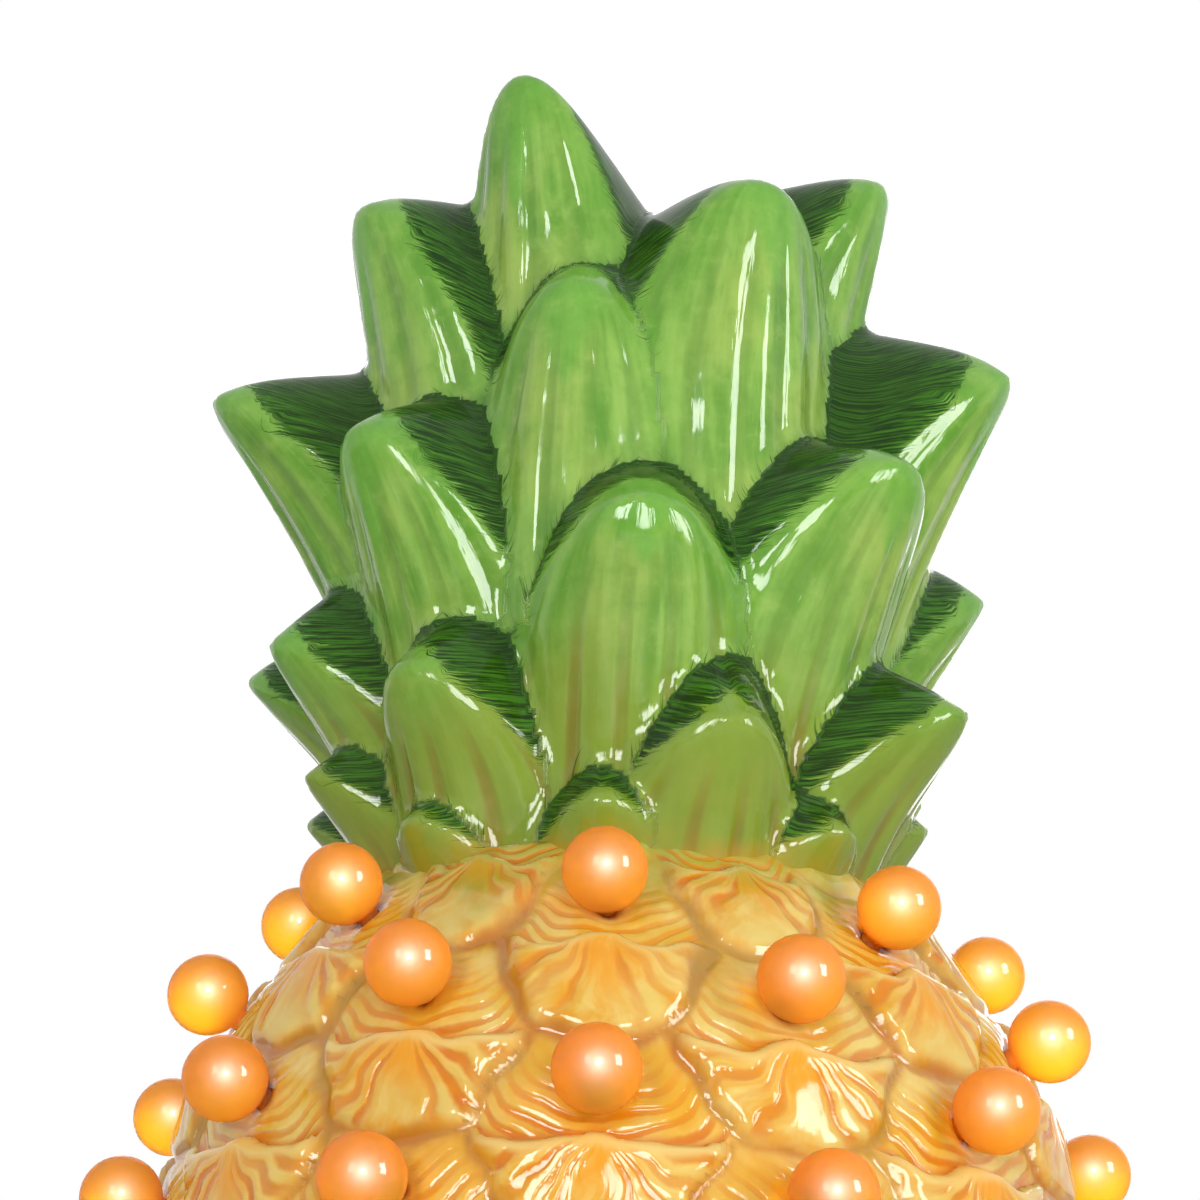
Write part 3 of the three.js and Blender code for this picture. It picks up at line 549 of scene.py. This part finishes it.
# Leaves: azimuth, tip radius, tip height, width, length of the face, climb of the upper side
# and the length of the arch that ends the face
leaves = [
    (-148, 53, 168, 24, 16, 0.5, 15), (-104, 59, 173, 24, 18, 0.5, 17),
    (-70, 58, 174, 25, 18, 0.6, 16), (-42, 53, 162.5, 26, 13, 0.7, 13),
    (-4, 52, 164, 25, 13, 0.8, 13), (44, 53.5, 162, 26, 13, 0.7, 13),
    (80, 54.5, 168.5, 24, 15, 0.6, 15), (104, 56.5, 178, 25, 20, 0.5, 17),
    (140, 54, 168, 24, 14, 0.5, 14), (176, 52.5, 172, 24, 16, 0.5, 15),
    (-166, 60.5, 192, 33, 34, 0.5, 25), (-131, 61.5, 187, 31, 30, 0.5, 24),
    (-100, 69.5, 198, 30, 36, 0.4, 25), (-74, 64, 197, 30, 36, 0.7, 24),
    (-40, 57.5, 186.5, 35, 32, 0.7, 25), (19, 57, 176.5, 35, 28, 1.0, 20),
    (63, 65, 183.5, 34, 32, 0.45, 22), (97, 66.5, 213, 33, 48, 0.3, 26),
    (130, 61.5, 189, 33, 34, 0.4, 24), (162, 59.5, 185, 32, 30, 0.4, 23),
    (-150, 65, 231, 38, 56, 0.2, 36), (-120, 65, 221, 37, 52, 0.25, 34),
    (-80, 75, 241.5, 38, 60, 0.1, 36), (-51, 60.5, 228, 40, 58, 0.3, 36),
    (3, 57, 211, 38, 52, 0.45, 20), (50, 63, 222, 44, 58, 0.2, 28),
    (80, 70.5, 247.5, 42, 70, 0.2, 40), (118, 66, 233, 38, 58, 0.2, 36),
    (150, 65, 226, 38, 56, 0.2, 35), (-178, 63, 241, 38, 60, 0.15, 37),
    (-122, 52.5, 270, 36, 56, 0, 38), (-66, 53.5, 274, 38, 62, 0, 42),
    (-13.5, 44, 253.5, 36, 60, 0.3, 36), (34, 45, 273, 44, 64, -0.05, 36),
    (76, 49.5, 283.5, 35, 56, -0.15, 36), (118, 50.5, 266, 36, 56, 0, 38),
    (162, 47, 274, 36, 58, 0, 38),
    (-32, 39, 294.5, 34, 58, -0.5, 44),
]


def spreadAt(down, length, arch):
    # half-width of a leaf at a depth below its tip, as a share of its greatest
    arched = np.sqrt(1 - np.clip(1 - down / arch, 0, 1) ** 1.6)
    return arched - 0.12 * np.maximum(down - arch, 0) / length


def leafOutline(width, length, arch):
    # half-width and drop below the tip, once round a leaf from the root up, over and down
    drops = np.concatenate([np.linspace(length, arch, 18)[:-1], arch * np.linspace(1, 0, 44) ** 2])
    half = np.stack([spreadAt(drops, length, arch) * width / 2, drops], 1)
    other = half[:-1][::-1] * (-1, 1)
    foot = np.linspace(other[-1], half[0], 9)[1:]
    return np.vstack([half, other, foot])


def makeLeaf(number, azimuth, tipR, tipZ, width, length, climb, arch):
    # one closed leaf as points, faces and the fields that follow its surface
    ring = leafOutline(width, length, arch)
    coreAtTip = max(radiusAt(coreCurve, tipZ) - 6, 4)
    depth = tipR - coreAtTip
    rootR = radiusAt(coreCurve, max(tipZ - length, crown["bottom"])) + 3
    share, start, drop = crown["faceShare"], crown["edgeDrop"], crown["rimDrop"]
    layers = [(k, start * (k / share) ** 2) for k in np.linspace(0, share, 9)]
    for turn in np.linspace(0, math.pi / 2, 7)[1:]:
        fallen = start + (drop - start) * (1 - math.cos(turn))
        layers.append((share + (1 - share) * math.sin(turn), fallen))
    for t in np.linspace(0, 1, 13)[1:]:
        layers.append((1 + crown["flare"] * t**1.7, drop + (depth - drop) * t))
    layers.append((0, depth))
    bm, column, row = sheet(len(ring) - 1, len(layers) - 1)
    point = ring[column]
    size, back = np.array(layers)[row].T
    x = point[:, 0] * size
    aside = np.where(size > 1, point[:, 0], x)
    bowed = crown["bow"] * width * (2 * aside / width) ** 2
    inwards = np.clip(1 - size, 0, 1) * np.maximum(arch - point[:, 1], 0) * 0.55
    down = point[:, 1] + inwards
    side = x / np.maximum(spreadAt(down, length, arch) * width / 2, 4)
    fanned = 0.4 * x + 0.6 * side * width / 2
    count = crown["grooves"] * width / 38
    ridges = (count * side + 0.5 * math.sin(number * 2.3)) / 2 + 0.005 * down
    fade = smooth((down - 6) / 12) * smooth((drop - back) / 2)
    h = np.maximum(1 - down / length, 0)
    r = rootR + (tipR - rootR) * h ** crown["sweep"] - back - bowed
    ridge = np.maximum(back - drop, 0)
    lift = climb * ridge * depth / (depth - drop)
    lift = lift + crown["rise"] * length / 60 * (1 - np.exp(-ridge / crown["riseOver"]))
    turn = math.radians(azimuth)
    moveTo(bm, np.stack([
        r * math.sin(turn) + x * math.cos(turn),
        -r * math.cos(turn) + x * math.sin(turn),
        tipZ - down + lift,
    ], axis=-1))
    outlineRun = np.concatenate([[0], np.cumsum(np.hypot(*np.diff(ring, axis=0).T))])
    tipIndex = int(np.argmin(ring[:, 1]))
    along = outlineRun[column] - outlineRun[tipIndex]
    keepFields(bm, {
        "tipLight": np.full(len(x), crown["tipLight"] * length),
        "along": np.abs(along) + 37 * number,
        "behind": back - drop + np.where(size > 1, size - 1, 0),
        "tipRun": np.abs(along),
        "fromTip": np.hypot(along, ridge),
        "across": fanned,
        "down": down,
        "ridges": ridges,
        "grooveShare": fade,
        "faceShare": np.minimum(size, 1),
        "leafSeed": np.full(len(x), 1.7 * number),
    })
    closeUp(bm)
    return bm


def makeCore():
    low, columns = crown["bottom"], 72
    profile = [(0, low), (crown["core"][0][0], low), *coreCurve[1:], (0, crown["coreTop"])]
    profile = np.array(profile, float)
    bm, column, row = sheet(columns, len(profile) - 1)
    moveTo(bm, around(360 * column / columns, profile[row, 0], profile[row, 1]))
    closeUp(bm)
    return bm


def joined(parts):
    # one mesh of all the parts, which still overlap
    whole = bmesh.new()
    for part in parts:
        mesh = bpy.data.meshes.new("part")
        part.to_mesh(mesh)
        part.free()
        whole.from_mesh(mesh)
        bpy.data.meshes.remove(mesh)
    return whole


def remeshed(bm, voxel):
    # melts overlapping parts into one skin
    mesh = bpy.data.meshes.new("overlapping")
    bm.to_mesh(mesh)
    holder = bpy.data.objects.new("overlapping", mesh)
    bpy.context.scene.collection.objects.link(holder)
    modifier = holder.modifiers.new("skin", "REMESH")
    modifier.mode = "VOXEL"
    modifier.voxel_size = voxel
    graph = bpy.context.evaluated_depsgraph_get()
    skin = bmesh.new()
    skin.from_mesh(holder.evaluated_get(graph).to_mesh())
    bpy.data.objects.remove(holder)
    bpy.data.meshes.remove(mesh)
    return skin


def evened(bm, values, times):
    # each value becomes the mean of its vertex and the vertices next to it, again and again
    ends = np.array([[vert.index for vert in edge.verts] for edge in bm.edges])
    here, there = np.vstack([ends, ends[:, ::-1]]).T
    near = 1 + np.bincount(here, minlength=len(values))
    for _ in range(times):
        values = (values + np.bincount(here, values[there], len(values))) / near
    return values


def creaseOf(bm):
    # how deep each vertex lies in the furrow between two leaves
    bm.normal_update()
    hollow = np.zeros(len(bm.verts))
    for vert in bm.verts:
        near = [edge.other_vert(vert).co for edge in vert.link_edges]
        middle = sum(near, Vector()) / len(near)
        hollow[vert.index] = (middle - vert.co).dot(vert.normal) / mm
    return smooth((evened(bm, hollow, 2) - 0.015) / 0.07)


def cornersOf(face, point):
    # each corner of a face with its share in a point that lies on the face
    weights = poly_3d_calc([v.co for v in face.verts], point)
    return list(zip(weights, face.verts))


def leafGlaze():
    glaze = Recipe("leaf_glaze", Roughness=0.07, IOR=1.5, Specular_IOR_Level=0.32)
    seed, across, down = glaze.field("leafSeed"), glaze.field("across"), glaze.field("down")
    streakPlace = glaze.join(glaze.times(across, 0.3), glaze.times(down, 0.045), seed)
    streak = glaze.noise(1, 4, streakPlace)
    patchPlace = glaze.join(glaze.times(across, 0.07), glaze.times(down, 0.045), seed)
    patch = glaze.noise(1, 2, patchPlace)
    cloud, mottle = glaze.noise(160, 4), glaze.noise(260, 5, roughness=0.6)
    colour = glaze.mix(glaze.band(streak, 0.3, 0.7), tint(92, 144, 46), tint(136, 178, 78))
    size = glaze.field("faceShare")
    middle = glaze.times(glaze.band(size, 0.9, 0.3), glaze.band(patch, 0.4, 0.65))
    colour = glaze.lay(colour, tint(164, 184, 88), middle, 0.5)
    # painted shade: the face turns a deeper green towards its rims, where it rounds away
    rim = glaze.times(glaze.band(size, 0.6, 1.0), glaze.band(cloud, 0.2, 0.6))
    colour = glaze.lay(colour, tint(94, 154, 42), rim, 0.5)
    ridges = glaze.band(glaze.wave(glaze.field("ridges")), -0.3, -1)
    furrow = glaze.times(ridges, glaze.field("grooveShare"))
    furrow = glaze.times(furrow, glaze.band(streak, 0.2, 0.6))
    colour = glaze.lay(colour, tint(76, 118, 32), furrow, 0.36)
    colour = glaze.lay(colour, tint(104, 164, 58), glaze.band(glaze.field("fromTip"), 12, 3), 0.8)
    colour = glaze.lay(colour, tint(158, 188, 96), glaze.band(mottle, 0.48, 0.78), 0.4)
    colour = glaze.lay(colour, tint(80, 132, 40), glaze.band(mottle, 0.5, 0.22), 0.4)
    colour = glaze.lay(colour, tint(66, 116, 30), glaze.field("crease"), 0.8)
    # towards the fruit the green runs out into olive and orange
    low = glaze.maths("ADD", glaze.height(), glaze.times(glaze.noise(55, 3), 0.03))
    olive = glaze.mix(furrow, tint(128, 146, 46), tint(130, 112, 34))
    colour = glaze.lay(colour, olive, glaze.band(low, 0.214, 0.186), 0.75)
    colour = glaze.lay(colour, tint(196, 140, 44), glaze.band(low, 0.178, 0.166), 0.55)
    # dark brushwork on the upper sides, its edge feathered into single strokes
    along, field = glaze.field("along"), glaze.field("darkDepth")
    slant = glaze.maths("MULTIPLY_ADD", field, -1.1, along)
    hairPlace = glaze.join(glaze.times(slant, 2.4), glaze.times(field, 0.13), seed)
    hair = glaze.noise(1, 4, hairPlace, 0.7)
    dark = glaze.band(glaze.shaken(field, hair, 12), -0.7, 0.7)
    insidePlace = glaze.join(glaze.times(slant, 2.2), glaze.times(field, 0.16), 4.0)
    inside = glaze.band(glaze.noise(1, 4, insidePlace, 0.7), 0.42, 0.62)
    shallow = glaze.maths("MULTIPLY_ADD", glaze.band(field, 9, 0), 0.4, 0.45)
    deep = glaze.mix(glaze.times(inside, shallow), tint(6, 36, 2), tint(64, 124, 24))
    glaze.colour(glaze.lay(colour, deep, dark, 0.95))
    dull = glaze.maths("MULTIPLY_ADD", dark, -0.17, 0.32)
    glaze.feed(glaze.shader.inputs["Specular IOR Level"], dull)
    waves = glaze.maths("MULTIPLY_ADD", streak, 0.6, glaze.noise(60, 2))
    glaze.bump(glaze.maths("MULTIPLY_ADD", furrow, -0.5, waves), 0.0006, 0.5)
    return glaze.material


def makeCrown(glaze):
    parts = [makeLeaf(number, *leaf) for number, leaf in enumerate(leaves)]
    source = joined(parts)
    names = [
        "along", "behind", "tipRun", "fromTip", "across", "down", "ridges", "grooveShare",
        "faceShare", "leafSeed", "tipLight",
    ]
    layers = {name: source.verts.layers.float[name] for name in names}
    source.normal_update()
    source.verts.ensure_lookup_table()
    source.faces.ensure_lookup_table()
    everywhere = BVHTree.FromBMesh(source)
    behind, tipRun, tipLight = layers["behind"], layers["tipRun"], layers["tipLight"]
    deepness = []  # how far a point of a leaf lies beyond the border of its dark side
    for vert in source.verts:
        fold = vert[tipRun] / (1.6 * vert[tipLight] + 1)
        border = -0.6 + (vert[tipLight] + 0.6) * math.exp(-(fold**2))
        deepness.append(min(vert[behind] - border, 30 * (vert.normal.z + 0.02)))
    darkFaces = [f for f in source.faces if min(deepness[v.index] for v in f.verts) > 0]
    painted = BVHTree.FromPolygons(
        [v.co for v in source.verts], [[v.index for v in f.verts] for f in darkFaces])
    whole = joined([source.copy(), makeCore()])
    skin = remeshed(whole, crown["voxel"] * mm)
    whole.free()
    soften(skin, skin.verts[:], crown["smoothing"])
    print("crown skin:", len(skin.faces), "faces")
    values = {name: np.zeros(len(skin.verts)) for name in names + ["darkDepth"]}
    for k, vert in enumerate(skin.verts):
        point, _, index, _ = everywhere.find_nearest(vert.co)
        corners = cornersOf(source.faces[index], point)
        for name in names:
            values[name][k] = sum(w * v[layers[name]] for w, v in corners)
        inside = sum(w * deepness[v.index] for w, v in corners)
        # the strokes follow the nearest dark side, also on the light side of its border
        point, _, index, gap = painted.find_nearest(vert.co)
        corners = cornersOf(darkFaces[index], point)
        values["along"][k] = sum(w * v[layers["along"]] for w, v in corners)
        values["darkDepth"][k] = inside if inside > 0 else -gap / mm
    values["crease"] = creaseOf(skin)
    furrows = [vert for vert, crease in zip(skin.verts, values["crease"]) if crease > 0.1]
    soften(skin, furrows, crown["creaseSmoothing"])
    sunk = crown["grooveDepth"] * (1 - np.cos(2 * math.pi * values["ridges"])) / 2
    sunk = evened(skin, sunk * values["grooveShare"] * (1 - values["crease"]), 3)
    for vert, depth in zip(skin.verts, sunk):
        vert.co -= vert.normal * depth * mm
    keepFields(skin, values)
    source.free()
    return finishPiece(skin, "leaf_crown_casting", "lamp", glaze, ["crown"])


# The globes on one helix, a globe to each scale
globes = {
    "radius": 6.5,
    "stand": 6.2,
    "lift": 0.4,
    "pegRadius": 1.8,
    "pegTip": 1.5,
    "pegLength": 8,
    "shortPeg": 3,   # on the globes of the lower turns
    "columns": 28,
    "count": 64,
    "loose": 30,
    "firstColumn": -6,
}


def globePlace(number):
    column = globes["firstColumn"] + 2 * number
    azimuth = fruit["firstAzimuth"] + column * columnTurn
    z = fruit["topScale"] + (globes["lift"] - column / fruit["halfColumns"]) * fruit["row"]
    return azimuth, z


def amberPlastic():
    amber = Recipe(
        "amber_plastic", Roughness=0.56, IOR=1.2, Transmission_Weight=0.62, Coat_Weight=0.2,
        Coat_Roughness=0.05)
    # painted light: each globe turns a brighter yellow towards its bottom, where light shining
    # through the plastic gathers
    low = amber.shaken(amber.field("low"), amber.noise(150, 3), 0.5)
    colour = amber.mix(amber.band(low, -0.4, 1.0), tint(254, 170, 0), tint(255, 194, 2))
    amber.colour(amber.mix(amber.field("gate"), colour, tint(240, 136, 2)))
    return amber.material


def makeGlobe(number, plastic):
    azimuth, z = globePlace(number)
    radius = radiusAt(outlineCurve, z)
    out, rise = normalAt(outlineCurve, z)
    ball, stand = globes["radius"], globes["stand"]
    thick, thin = globes["pegRadius"], globes["pegTip"]
    neck = math.asin(thick / ball)
    turns = np.linspace(0, math.pi - neck, 18)
    profile = [(ball * math.sin(t), stand + ball * math.cos(t)) for t in turns]
    long = globes["pegLength"] if number < globes["loose"] else globes["shortPeg"]
    for t in np.linspace(0, 1, 4)[1:]:
        profile.append((thick + t * (thin - thick), -long * t))
    profile = np.array([*profile, (0, -long)])
    bm, column, row = sheet(globes["columns"], len(profile) - 1)
    spin = 2 * math.pi * column / globes["columns"]
    reach, along = profile[row].T
    local = np.stack([reach * np.cos(spin), reach * np.sin(spin), along], -1)
    lean = Matrix.Rotation(math.acos(rise), 3, "X")
    turn = Matrix.Rotation(math.radians(azimuth), 3, "Z")
    placed = local @ np.array(turn @ lean).T + around(azimuth, radius, z)
    centre = around(azimuth, radius + stand * out, z + stand * rise)
    moveTo(bm, placed)
    keepFields(bm, {
        # how far below its centre, for the painted light that gathers in the bottom of each globe
        "low": (centre[2] - placed[:, 2]) / ball,
        "gate": np.exp(-(((local[:, 2] + 0.5) / 2.4) ** 2)),
    })
    name = f"amber_globe_{number + 1:02d}"
    replaced = [f"bulb_{number + 1:02d}"] if number < globes["loose"] else []
    return finishPiece(bm, name, "lamp", plastic, replaced)


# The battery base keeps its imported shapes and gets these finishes: the nodes, the material,
# its two tints, how fine they are mottled, roughness, metallic and bump
baseFinishes = [
    ("base_plate", "base_plastic", (232, 228, 216), (240, 236, 226), 900, 0.45, 0, 0.00005),
    ("battery_door", "door_plastic", (224, 220, 207), (232, 228, 216), 900, 0.45, 0, 0.00005),
    ("gasket", "gasket_foam", (52, 52, 50), (70, 70, 68), 2500, 0.95, 0, 0.0002),
    ("cell_1 cell_2 cell_3", "cell_wrap", (58, 70, 80), (66, 78, 88), 300, 0.3, 0.4, 0),
    (
        "contact_positive contact_negative contact_link_left contact_link_right",
        "contact_steel", (196, 196, 192), (210, 210, 206), 1500, 0.28, 1, 0,
    ),
    (
        "board_screw_1 board_screw_2",
        "screw_steel", (178, 178, 174), (196, 196, 192), 1500, 0.3, 1, 0,
    ),
    ("switch_body switch_knob", "black_plastic", (30, 30, 31), (40, 40, 41), 1200, 0.5, 0, 0),
    ("led_board", "board_lacquer", (214, 224, 212), (224, 232, 222), 800, 0.35, 0, 0),
    ("led_1 led_2 led_3", "led_lens", (250, 236, 190), (255, 244, 210), 400, 0.1, 0, 0),
    ("diffuser", "diffuser_plastic", (240, 235, 222), (246, 242, 232), 500, 0.5, 0, 0),
    ("wire_red", "red_wire", (170, 34, 28), (184, 44, 36), 1500, 0.4, 0, 0),
    ("wire_black", "black_wire", (26, 26, 27), (36, 36, 37), 1500, 0.4, 0, 0),
    ("wire_white", "white_wire", (232, 230, 222), (240, 238, 232), 1500, 0.4, 0, 0),
    (
        "foot_pad_1 foot_pad_2 foot_pad_3 foot_pad_4",
        "pad_rubber", (196, 190, 178), (206, 201, 190), 1800, 0.8, 0, 0.0001,
    ),
]


def finishBase():
    for names, *finish in baseFinishes:
        material = plainRecipe(*finish).material
        for name in names.split():
            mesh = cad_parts[name].data
            mesh.materials.clear()
            mesh.materials.append(material)


# The camera of the photograph, in millimetres and degrees
photoCamera = {
    "place": (-3.96, -510.7, 52),
    "pitch": 17.15,
    "roll": 0.69,
    "lens": 92.97,
    "sensor": 36,
}

# The lamps in metres and watts: name, place, aim, width, height and power
studio = {
    "skyDiffuse": 0.385,
    "floorSize": 6,
    "floorDrop": 0.0002,    # keeps the floor clear of the pads that stand on it
    "paperGlow": 0.3,       # what the camera sees of the floor on top of its light
    "mirrored": ("frontBox", "rightBox", "leftBox"),
    "gleam": 1.1,           # how much stronger these boxes are mirrored than they light
    "twinAt": 0.96,         # their mirrored twins stand at this share of their distance
    "onGlobes": [
        ("globeSparkle", (0.06, -1.09, 0.2), (0, 0, 0.15), 0.1, 0.1, 360),
        ("globeWindow", (0.83, -0.6, 0.37), (0, 0, 0.15), 0.26, 0.42, 22),
    ],
    "softboxes": [
        ("frontBox", (0.115, -1.09, 0.25), (0, 0, 0.15), 0.3, 0.3, 2.7),
        ("rightBox", (0.87, -0.63, 0.38), (0, 0, 0.15), 0.32, 0.5, 4.4),
        ("leftBox", (-0.42, -0.99, 0.38), (0, 0, 0.15), 0.24, 0.4, 3.2),
        ("backFill", (0.2, 1.5, 0.7), (0, 0, 0.15), 1.2, 1, 6),
    ],
}


def addCamera():
    data = bpy.data.cameras.new("photoCamera")
    data.lens = photoCamera["lens"]
    data.sensor_width = photoCamera["sensor"]
    camera = bpy.data.objects.new("photoCamera", data)
    bpy.context.scene.collection.objects.link(camera)
    tilt = Matrix.Rotation(math.radians(90 + photoCamera["pitch"]), 4, "X")
    roll = Matrix.Rotation(math.radians(photoCamera["roll"]), 4, "Z")
    camera.matrix_world = Matrix.Translation(Vector(photoCamera["place"]) * mm) @ tilt @ roll
    bpy.context.scene.camera = camera


def addSoftbox(name, place, aim, width, height, power):
    data = bpy.data.lights.new(name, "AREA")
    data.shape = "RECTANGLE"
    data.size, data.size_y = width, height
    data.energy = power
    lamp = bpy.data.objects.new(name, data)
    bpy.context.scene.collection.objects.link(lamp)
    lamp.location = place
    lamp.rotation_euler = (Vector(aim) - Vector(place)).to_track_quat("-Z", "Y").to_euler()
    lamp.visible_camera = False
    return lamp


def addGleams(pieces):
    # twins of the boxes that light nothing, and lamps that only the globes mirror
    for name, place, *rest, power in studio["softboxes"]:
        if name in studio["mirrored"]:
            near = Vector(place) * studio["twinAt"]
            twin = addSoftbox(name + "Gleam", near, *rest, power * studio["gleam"])
            twin.visible_diffuse = twin.visible_transmission = False
    shown = bpy.data.collections.new("mirroringGlobes")
    for piece in pieces:
        shown.objects.link(piece)
    for light in studio["onGlobes"]:
        lamp = addSoftbox(*light)
        lamp.visible_diffuse = lamp.visible_transmission = False
        lamp.data.cycles.max_bounces = 0
        lamp.light_linking.receiver_collection = shown


def addSky():
    world = bpy.data.worlds.new("studioSky")
    bpy.context.scene.world = world
    world.use_nodes = True
    nodes, links = world.node_tree.nodes, world.node_tree.links
    sky = nodes["Background"]
    path = nodes.new("ShaderNodeLightPath")
    seen = path.outputs["Is Camera Ray"]
    for ray in ("Is Glossy Ray", "Is Transmission Ray"):
        either = nodes.new("ShaderNodeMath")
        either.operation = "MAXIMUM"
        links.new(seen, either.inputs[0])
        links.new(path.outputs[ray], either.inputs[1])
        seen = either.outputs[0]
    level = nodes.new("ShaderNodeMapRange")
    level.inputs["To Min"].default_value = studio["skyDiffuse"]
    level.inputs["To Max"].default_value = 1
    links.new(seen, level.inputs["Value"])
    links.new(level.outputs[0], sky.inputs["Strength"])
    sky.inputs["Color"].default_value = (1, 1, 1, 1)


def addFloor():
    bm = bmesh.new()
    bmesh.ops.create_grid(bm, x_segments=2, y_segments=2, size=studio["floorSize"])
    mesh = bpy.data.meshes.new("studio_floor")
    bm.to_mesh(mesh)
    bm.free()
    floor = bpy.data.objects.new("studio_floor", mesh)
    floor.location.z = -studio["floorDrop"]
    bpy.context.scene.collection.objects.link(floor)
    paper = plainRecipe("paper_floor", (236, 235, 232), (240, 239, 237), 3, 0.9)
    seen = paper.add("ShaderNodeLightPath").outputs["Is Camera Ray"]
    paper.feed(paper.shader.inputs["Emission Color"], (1, 1, 1, 1))
    paper.feed(paper.shader.inputs["Emission Strength"], paper.times(seen, studio["paperGlow"]))
    mesh.materials.append(paper.material)


def buildScene():
    addCamera()
    addSky()
    for box in studio["softboxes"]:
        addSoftbox(*box)
    addFloor()
    makeFruit(fruitGlaze())
    print("fruit made")
    makeCrown(leafGlaze())
    print("crown made")
    amber = amberPlastic()
    addGleams([makeGlobe(number, amber) for number in range(globes["count"])])
    print("globes made")
    finishBase()
    print("base finished")
    bpy.context.scene.view_settings.view_transform = "Standard"


buildScene()
